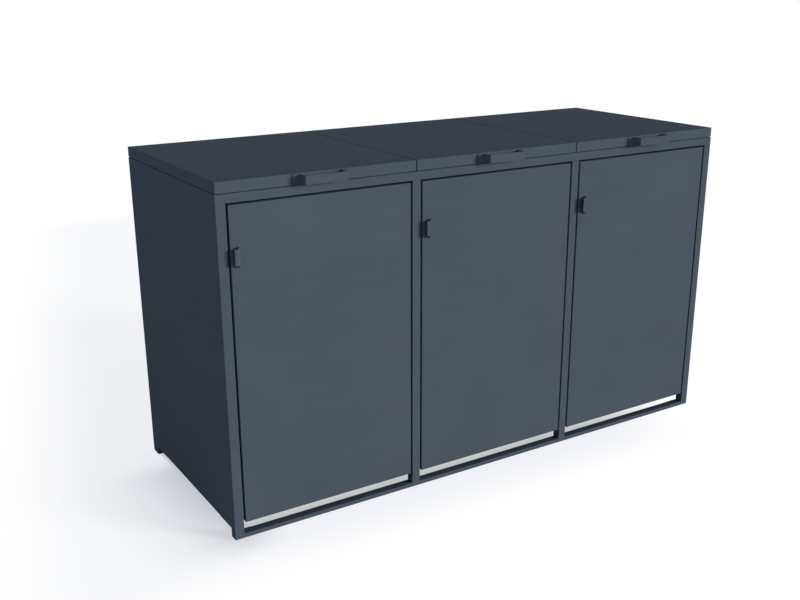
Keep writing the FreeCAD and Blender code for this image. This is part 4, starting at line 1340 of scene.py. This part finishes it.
@dataclass
class Strut(Assembly):
    """One gas strut: its tube and rod, and the plate with its lower stud."""

    bay: int = 1
    joints: dict[str, dict] = field(default_factory=dict)
    eye: float = 9.0 * MM
    eye_wide: float = 8.0 * MM
    eye_hole: float = 4.1 * MM
    eye_rim: float = 1.0 * MM
    tube: float = 9.0 * MM
    neck: float = 5.0 * MM
    neck_from: float = 7.2 * MM  # the foot eye's middle to where the tube's neck begins
    shoulder: float = 20.0 * MM  # and to where it is rolled out to its full width
    groove: float = 0.9 * MM  # depth of the groove that holds the rod's guide
    mouth: float = 0.4 * MM  # gap round the rod where it leaves the tube
    rod: float = 4.0 * MM
    rod_from: float = 40.0 * MM  # the foot eye's middle to the rod's end inside the tube
    fitting: float = 2.2 * MM  # how far the rod's end fitting stands proud of it
    rib_clear: float = 0.3 * MM  # the stud's end to the lid's rib
    rest: float = 46.0 * MM  # the tube's end to the head eye, with the lid shut
    stud: float = 4.0 * MM
    stud_cap: float = 6.5 * MM
    plate_thick: float = 3.0 * MM
    plate_corner: float = 5.0 * MM
    plate_rivet: float = 9.0 * MM  # the plate's top to the middle of its rivets
    plate_rivets: tuple[float, float] = (-0.34, 0.34)  # from its middle, as shares of its width

    def __post_init__(self) -> None:
        """Work out the strut's line from its joints and its rod's box."""
        self.foot = Vector(self.joints[f"strut_swing_{self.bay}"]["pos_m"])
        self.way = Vector(self.joints[f"strut_slide_{self.bay}"]["axis"]).normalized()
        head_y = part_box(f"strut_rod_{self.bay}")[0].y + self.eye
        self.long = (head_y - self.foot.y) / self.way.y

    @property
    def head(self) -> Vector:
        """Give the middle of the strut's head eye, with the lid shut."""
        return self.foot + self.way * self.long

    def build(self) -> None:
        """Make every piece of the strut."""
        self._tube()
        self._rod()

    def _eye(self, place: Vector) -> BMesh:
        """Turn one end eye, across the strut."""
        half = self.eye_wide / 2
        return aim(ring(self.eye_hole, self.eye, -half, half, self.eye_rim, 28), place, RIGHT)

    def _tube(self) -> None:
        """Turn the tube, with a rolled shoulder and a crimped groove at the guide."""
        end, shoulder = self.long - self.rest, self.shoulder
        wide, neck, bore = self.tube, self.neck, self.rod + self.mouth
        profile = [
            (0.0, self.neck_from), (neck, self.neck_from), (neck, shoulder - 3 * MM),
            (neck + 0.8 * MM, shoulder - 1.4 * MM), (wide - 2 * MM, shoulder - 0.4 * MM),
            (wide - 0.5 * MM, shoulder + 0.6 * MM), (wide, shoulder + 2.4 * MM),
            (wide, end - 11 * MM), (wide - self.groove, end - 9.8 * MM),
            (wide - self.groove, end - 8.6 * MM), (wide, end - 7.4 * MM), (wide, end - 2 * MM),
            (wide - 0.8 * MM, end - 0.6 * MM), (wide - 2.2 * MM, end), (bore, end),
            (bore, end - 1.5 * MM), (0.0, end - 1.5 * MM),
        ]
        barrel = aim(turned(profile, 28), self.foot, self.way, RIGHT)
        mesh = merged([barrel, self._eye(self.foot)])
        name, body = f"strut_cylinder_{self.bay}", f"strut_barrel_{self.bay}"
        self.place(mesh, name, body, "strut_black", f"strut_tube_{self.bay}")

    def _rod(self) -> None:
        """Turn the rod, with its end fitting, eye and stud."""
        long, rod, fitting = self.long, self.rod, self.rod + self.fitting
        profile = [
            (0.0, self.rod_from), (rod, self.rod_from), (rod, long - 17 * MM),
            (rod + 1.6 * MM, long - 16.6 * MM), (fitting, long - 16 * MM),
            (fitting, long - 8 * MM), (0.0, long - 8 * MM),
        ]
        shaft = aim(turned(profile, 24), self.foot, self.way, RIGHT)
        rib_x = self.solids(f"lid_ribs_{self.bay}")[0][1].x
        reach = self.head.x - rib_x - self.rib_clear
        half, stud, cap = self.eye_wide / 2, self.stud, self.stud_cap
        collar = stud + 1.6 * MM
        stud_profile = [
            (0.0, -half - 2.2 * MM), (stud, -half - 2.2 * MM), (cap - 0.7 * MM, -half - 1.8 * MM),
            (cap, -half - 1.0 * MM), (cap, -half), (stud, -half), (stud, half), (collar, half),
            (collar, half + 1.5 * MM), (stud, half + 1.5 * MM), (stud, reach), (0.0, reach),
        ]
        pin = aim(turned(stud_profile, 24), self.head, -RIGHT)
        mesh = merged([shaft, self._eye(self.head), pin])
        name, body = f"strut_piston_rod_{self.bay}", f"strut_piston_{self.bay}"
        self.place(mesh, name, body, "strut_rod", f"strut_rod_{self.bay}")

    def foot_plate(self, low: Vector, high: Vector) -> BMesh:
        """Make the plate that holds the strut's lower stud.

        Args:
            low: The lowest corner of the plate with its stud.
            high: Their highest corner.

        Returns:
            The plate, the stud and its rivets.
        """
        face_x = low.x + self.plate_thick
        sheet = plate(low, Vector((face_x, high.y, high.z)), RIGHT, self.plate_corner)
        place = Vector((face_x, (low.y + high.y) / 2, self.foot.z))
        reach, stud, cap = high.x - face_x, self.stud, self.stud_cap
        profile = [
            (stud + 2.4 * MM, -0.5 * MM), (stud + 2.0 * MM, 0.5 * MM), (stud + 0.4 * MM, 1.6 * MM),
            (stud, 3.0 * MM), (stud, reach - 3.0 * MM), (cap, reach - 3.0 * MM),
            (cap, reach - 1.2 * MM), (cap - 1.0 * MM, reach - 0.3 * MM), (0.0, reach),
        ]
        parts = [sheet, aim(turned(profile, 24), place, RIGHT)]
        for offset in self.plate_rivets:
            spot_y = place.y + offset * (high.y - low.y)
            spot = Vector((face_x, spot_y, high.z - self.plate_rivet))
            parts.append(BlindRivet().build(spot, RIGHT))
        return merged(parts)


# Studio


@dataclass(frozen=True)
class Patch:
    """A level rectangle of the floor with soft edges."""

    centre: tuple[float, float]
    inner: tuple[float, float]  # half its size, where it starts to fade
    outer: tuple[float, float]  # half its size, where it has faded out
    lean: float = 0.0  # how far its sides lean to the right, for each metre to the rear

    def mark(self, tree: NodeTree) -> NodeSocket:
        """Mark the patch.

        Args:
            tree: The node tree to add to.

        Returns:
            One inside it, and none outside.
        """
        place = add_node(tree, "TexCoord").outputs["Object"]
        x, y, _ = add_node(tree, "SeparateXYZ", Vector=place).outputs
        across = add_node(tree, "Math", {"operation": "MULTIPLY_ADD"}, _0=y, _1=-self.lean, _2=x)
        upright = add_node(tree, "CombineXYZ", X=across.outputs[0], Y=y).outputs[0]
        centre = (*self.centre, 0.0)
        offset = add_node(tree, "VectorMath", {"operation": "SUBTRACT"}, _0=upright, _1=centre)
        reach = add_node(tree, "VectorMath", {"operation": "ABSOLUTE"}, _0=offset.outputs[0])
        fade = add_node(
            tree,
            "MapRange",
            {"data_type": "FLOAT_VECTOR", "interpolation_type": "SMOOTHSTEP"},
            _6=reach.outputs[0],
            _7=(*self.inner, 0.0),
            _8=(*self.outer, 1.0),
            _9=(1.0, 1.0, 1.0),
            _10=(0.0, 0.0, 0.0),
        )
        x, y, _ = add_node(tree, "SeparateXYZ", Vector=fade.outputs["Vector"]).outputs
        return add_node(tree, "Math", {"operation": "MULTIPLY"}, _0=x, _1=y).outputs[0]


@dataclass
class Studio:
    """The floor, the light and the camera."""

    eye: tuple[float, float, float] = (-2.095, -3.0836, 1.7163)
    turn: float = 32.10  # degrees to the right of straight ahead
    dip: float = 18.38  # degrees below the horizon
    roll: float = -0.183
    focal_pixels: float = 1003.6
    centre_pixels: tuple[float, float] = (401.63, 314.74)
    picture: tuple[int, int] = (800, 600)
    sensor: float = 36.0
    floor_size: float = 60.0
    paper: str = "e6e7e9"  # the floor's colour for light that it throws back on the store
    shaded: str = "a3a3a3"  # the floor's part that takes the store's shadow
    floor_glow: float = 0.785  # the part of the floor's white that no shadow takes away
    nook_reach: float = 0.45  # how near a thing has to be for painted shade to dim the floor beside it
    nook_samples: int = 8
    # painted shade in nooks: the floor's white, from dim beige where it is hemmed in to white in the
    # open
    nook: Tones = ((0.05, "a29f9c"), (1.0, "fcfdff"), (0.25, "dbd7d0"), (0.5, "f8f9ff"))
    pool: Patch = Patch((-0.338, 1.945), (0.950, 2.375), (1.420, 2.625), 0.25)  # takes the shadow
    side_reach: float = 0.40  # how far the painted soft shade along the left side reaches
    side_fall: float = 2.4
    # the colour multiplied into the floor's white for that painted shade
    side_shade_colour: str = "dadadc"
    side: Patch = Patch((-1.435, -0.105), (0.405, 0.260), (0.600, 0.430))  # where it lies
    under_shade: str = "d3d6da"  # painted shade on the floor under the store, which shows below the doors
    under: Patch = Patch((0.0, 0.031), (1.020, 0.366), (1.033, 0.376))
    warm_shade: str = "d9dad0"  # and nearer its middle, where that painted shade is warmer
    warm: Patch = Patch((0.0, 0.031), (0.900, 0.300), (1.020, 0.366))
    key_turn: float = 43.0  # degrees to the right of the doors' own direction
    key_height: float = 11.0  # degrees above the ground: the shadow is five times as long as high
    key_width: float = 16.0
    key_strength: float = 3.09
    key_colour: str = "fffcf8"
    sky_low: float = 0.99  # the studio's light at the horizon, from its white walls
    sky_high: float = 0.27  # and overhead
    sky_fall: float = 3.0  # how fast it falls off above the walls
    sky_colour: str = "e9efff"
    view_end: float = 100.0

    def build(self) -> None:
        """Make the whole studio."""
        self._floor()
        self._key()
        self._sky()
        self._camera()

    def _floor(self) -> None:
        """Lay the floor: white where it is seen, with the store's shadow and painted shade, and paper
        to the light.
        """
        mesh = bmesh.new()
        bmesh.ops.create_grid(mesh, x_segments=1, y_segments=1, size=self.floor_size / 2)
        data = bpy.data.meshes.new("studio_floor")
        mesh.to_mesh(data)
        mesh.free()
        floor = bpy.data.objects.new("studio_floor", data)
        bpy.context.scene.collection.objects.link(floor)
        floor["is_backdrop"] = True
        material = bpy.data.materials.new("studio_floor_with_painted_shade")
        material.use_nodes = True
        tree = material.node_tree
        tree.nodes.remove(tree.nodes["Principled BSDF"])
        paper = add_node(tree, "BsdfDiffuse", Color=linear(self.paper)).outputs[0]
        glow = add_node(tree, "Emission", Color=self._tone(tree), Strength=self.floor_glow)
        shown = add_node(tree, "BsdfDiffuse", Color=linear(self.shaded))
        both = add_node(tree, "AddShader", _0=glow.outputs[0], _1=shown.outputs[0]).outputs[0]
        white = add_node(tree, "Emission", Color=linear("ffffff"), Strength=1.0).outputs[0]
        near = add_node(tree, "MixShader", _0=self.pool.mark(tree), _1=white, _2=both).outputs[0]
        mix = add_node(tree, "MixShader", _0=self._seen(tree), _1=paper, _2=near)
        feed(tree.nodes["Material Output"], Surface=mix.outputs[0])
        data.materials.append(material)

    def _tone(self, tree: NodeTree) -> NodeSocket:
        """Give the floor's white, with shade painted in: dim in nooks, along the left side and under
        the store.

        Args:
            tree: The floor's node tree.

        Returns:
            The colour.
        """
        # painted shade in nooks: the floor's emitted white dims where things stand near it, by ambient
        # occlusion
        settings = {"samples": self.nook_samples}
        nook = add_node(tree, "AmbientOcclusion", settings, Distance=self.nook_reach)
        tone = add_node(tree, "ValToRGB", tones=self.nook, Fac=nook.outputs["AO"]).outputs["Color"]
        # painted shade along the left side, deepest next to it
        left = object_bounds()[0].x
        place = add_node(tree, "TexCoord").outputs["Object"]
        spot = add_node(tree, "SeparateXYZ", Vector=place).outputs["X"]
        reach = {"From_Min": left - self.side_reach, "From_Max": left}
        close = add_node(tree, "MapRange", Value=spot, **reach).outputs[0]
        deep = add_node(tree, "Math", {"operation": "POWER"}, _0=close, _1=self.side_fall)
        times = {"operation": "MULTIPLY"}
        shade = add_node(tree, "Math", times, _0=deep.outputs[0], _1=self.side.mark(tree))
        # paint the shades into the white: along the left side, under the store, and warmer nearer its
        # middle
        for factor, blend, colour in (
            (shade.outputs[0], "MULTIPLY", self.side_shade_colour),
            (self.under.mark(tree), "MIX", self.under_shade),
            (self.warm.mark(tree), "MIX", self.warm_shade),
        ):
            settings = {"data_type": "RGBA", "blend_type": blend}
            mix = add_node(tree, "Mix", settings, _0=factor, _6=tone, _7=linear(colour))
            tone = mix.outputs[2]
        return tone

    @staticmethod
    def _seen(tree: NodeTree) -> NodeSocket:
        """Tell the rays that show the studio, straight or mirrored, from those that light the store.

        Args:
            tree: The node tree to add to.

        Returns:
            One for a ray that shows the studio, and none for a ray that lights the store.
        """
        path = add_node(tree, "LightPath").outputs
        most = {"operation": "MAXIMUM"}
        mirrored = add_node(
            tree, "Math", most, _0=path["Is Glossy Ray"], _1=path["Is Transmission Ray"]
        ).outputs[0]
        return add_node(tree, "Math", most, _0=path["Is Camera Ray"], _1=mirrored).outputs[0]

    def _key(self) -> None:
        """Hang the key light: a wide, low sun from the right of the doors."""
        sun = bpy.data.lights.new("key", "SUN")
        sun.energy = self.key_strength
        sun.color = linear(self.key_colour)[:3]
        sun.angle = math.radians(self.key_width)
        lamp = bpy.data.objects.new("key", sun)
        turn, height = math.radians(self.key_turn), math.radians(self.key_height)
        level = math.cos(height)
        towards = Vector((math.sin(turn) * level, -math.cos(turn) * level, math.sin(height)))
        lamp.rotation_euler = towards.to_track_quat("Z", "Y").to_euler()
        bpy.context.scene.collection.objects.link(lamp)

    def _sky(self) -> None:
        """Light the room: pale walls that grow dim overhead, and plain white where it is seen."""
        world = bpy.data.worlds.new("studio")
        world.use_nodes = True
        tree = world.node_tree
        sky = tree.nodes["Background"]
        place = add_node(tree, "TexCoord").outputs["Generated"]
        rise = add_node(tree, "SeparateXYZ", Vector=place).outputs["Z"]
        down = add_node(tree, "MapRange", Value=rise, To_Min=1.0, To_Max=0.0).outputs[0]
        walls = add_node(tree, "Math", {"operation": "POWER"}, _0=down, _1=self.sky_fall)
        light = {"To_Min": self.sky_high, "To_Max": self.sky_low}
        dome = add_node(tree, "MapRange", Value=walls.outputs[0], **light)
        feed(sky, Color=linear(self.sky_colour), Strength=dome.outputs[0])
        paper = add_node(tree, "Background", Color=linear("ffffff"), Strength=1.0).outputs[0]
        mix = add_node(tree, "MixShader", _0=self._seen(tree), _1=sky.outputs[0], _2=paper)
        feed(tree.nodes["World Output"], Surface=mix.outputs[0])
        bpy.context.scene.world = world

    def _camera(self) -> None:
        """Stand the camera where the photograph's edges say that it stood."""
        camera = bpy.data.cameras.new("camera")
        width, height = self.picture
        camera.sensor_width = self.sensor
        camera.lens = self.focal_pixels * self.sensor / width
        camera.shift_x = (width / 2 - self.centre_pixels[0]) / width
        camera.shift_y = (self.centre_pixels[1] - height / 2) / width
        camera.clip_end = self.view_end
        eye = bpy.data.objects.new("camera", camera)
        eye.location = self.eye
        turns = ((-self.turn, "Z"), (90 - self.dip, "X"), (self.roll, "Z"))
        heading, tilt, roll = (Matrix.Rotation(math.radians(by), 4, axis) for by, axis in turns)
        eye.rotation_euler = (heading @ tilt @ roll).to_euler()
        bpy.context.scene.collection.objects.link(eye)
        bpy.context.scene.camera = eye


def main() -> None:
    """Build the store's looks around its frame."""
    logging.basicConfig(level=logging.INFO, format="%(message)s")
    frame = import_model()
    nodes = frame["nodes"]
    joints = {joint["name"]: joint for joint in frame["record"]["behaviour"]["joints"]}
    finishes = Finishes()
    finishes.build()
    Studio().build()
    Frame(finishes, nodes).build()
    fittings = Fittings(finishes, nodes)
    fittings.build()
    plates = []
    for bay, (low, high) in zip(BAYS, fittings.solids("strut_foot_plates")):
        Door(finishes, nodes, bay=bay).build()
        strut = Strut(finishes, nodes, bay=bay, joints=joints)
        strut.build()
        plates.append(strut.foot_plate(low, high))
        Lid(finishes, nodes, bay=bay).build(fittings, strut.head)
    fittings.place(merged(plates), "strut_stud_plates", "frame", "zinc_steel", "strut_foot_plates")
    bpy.context.scene.view_settings.view_transform = "Standard"


if __name__ == "__main__":
    main()
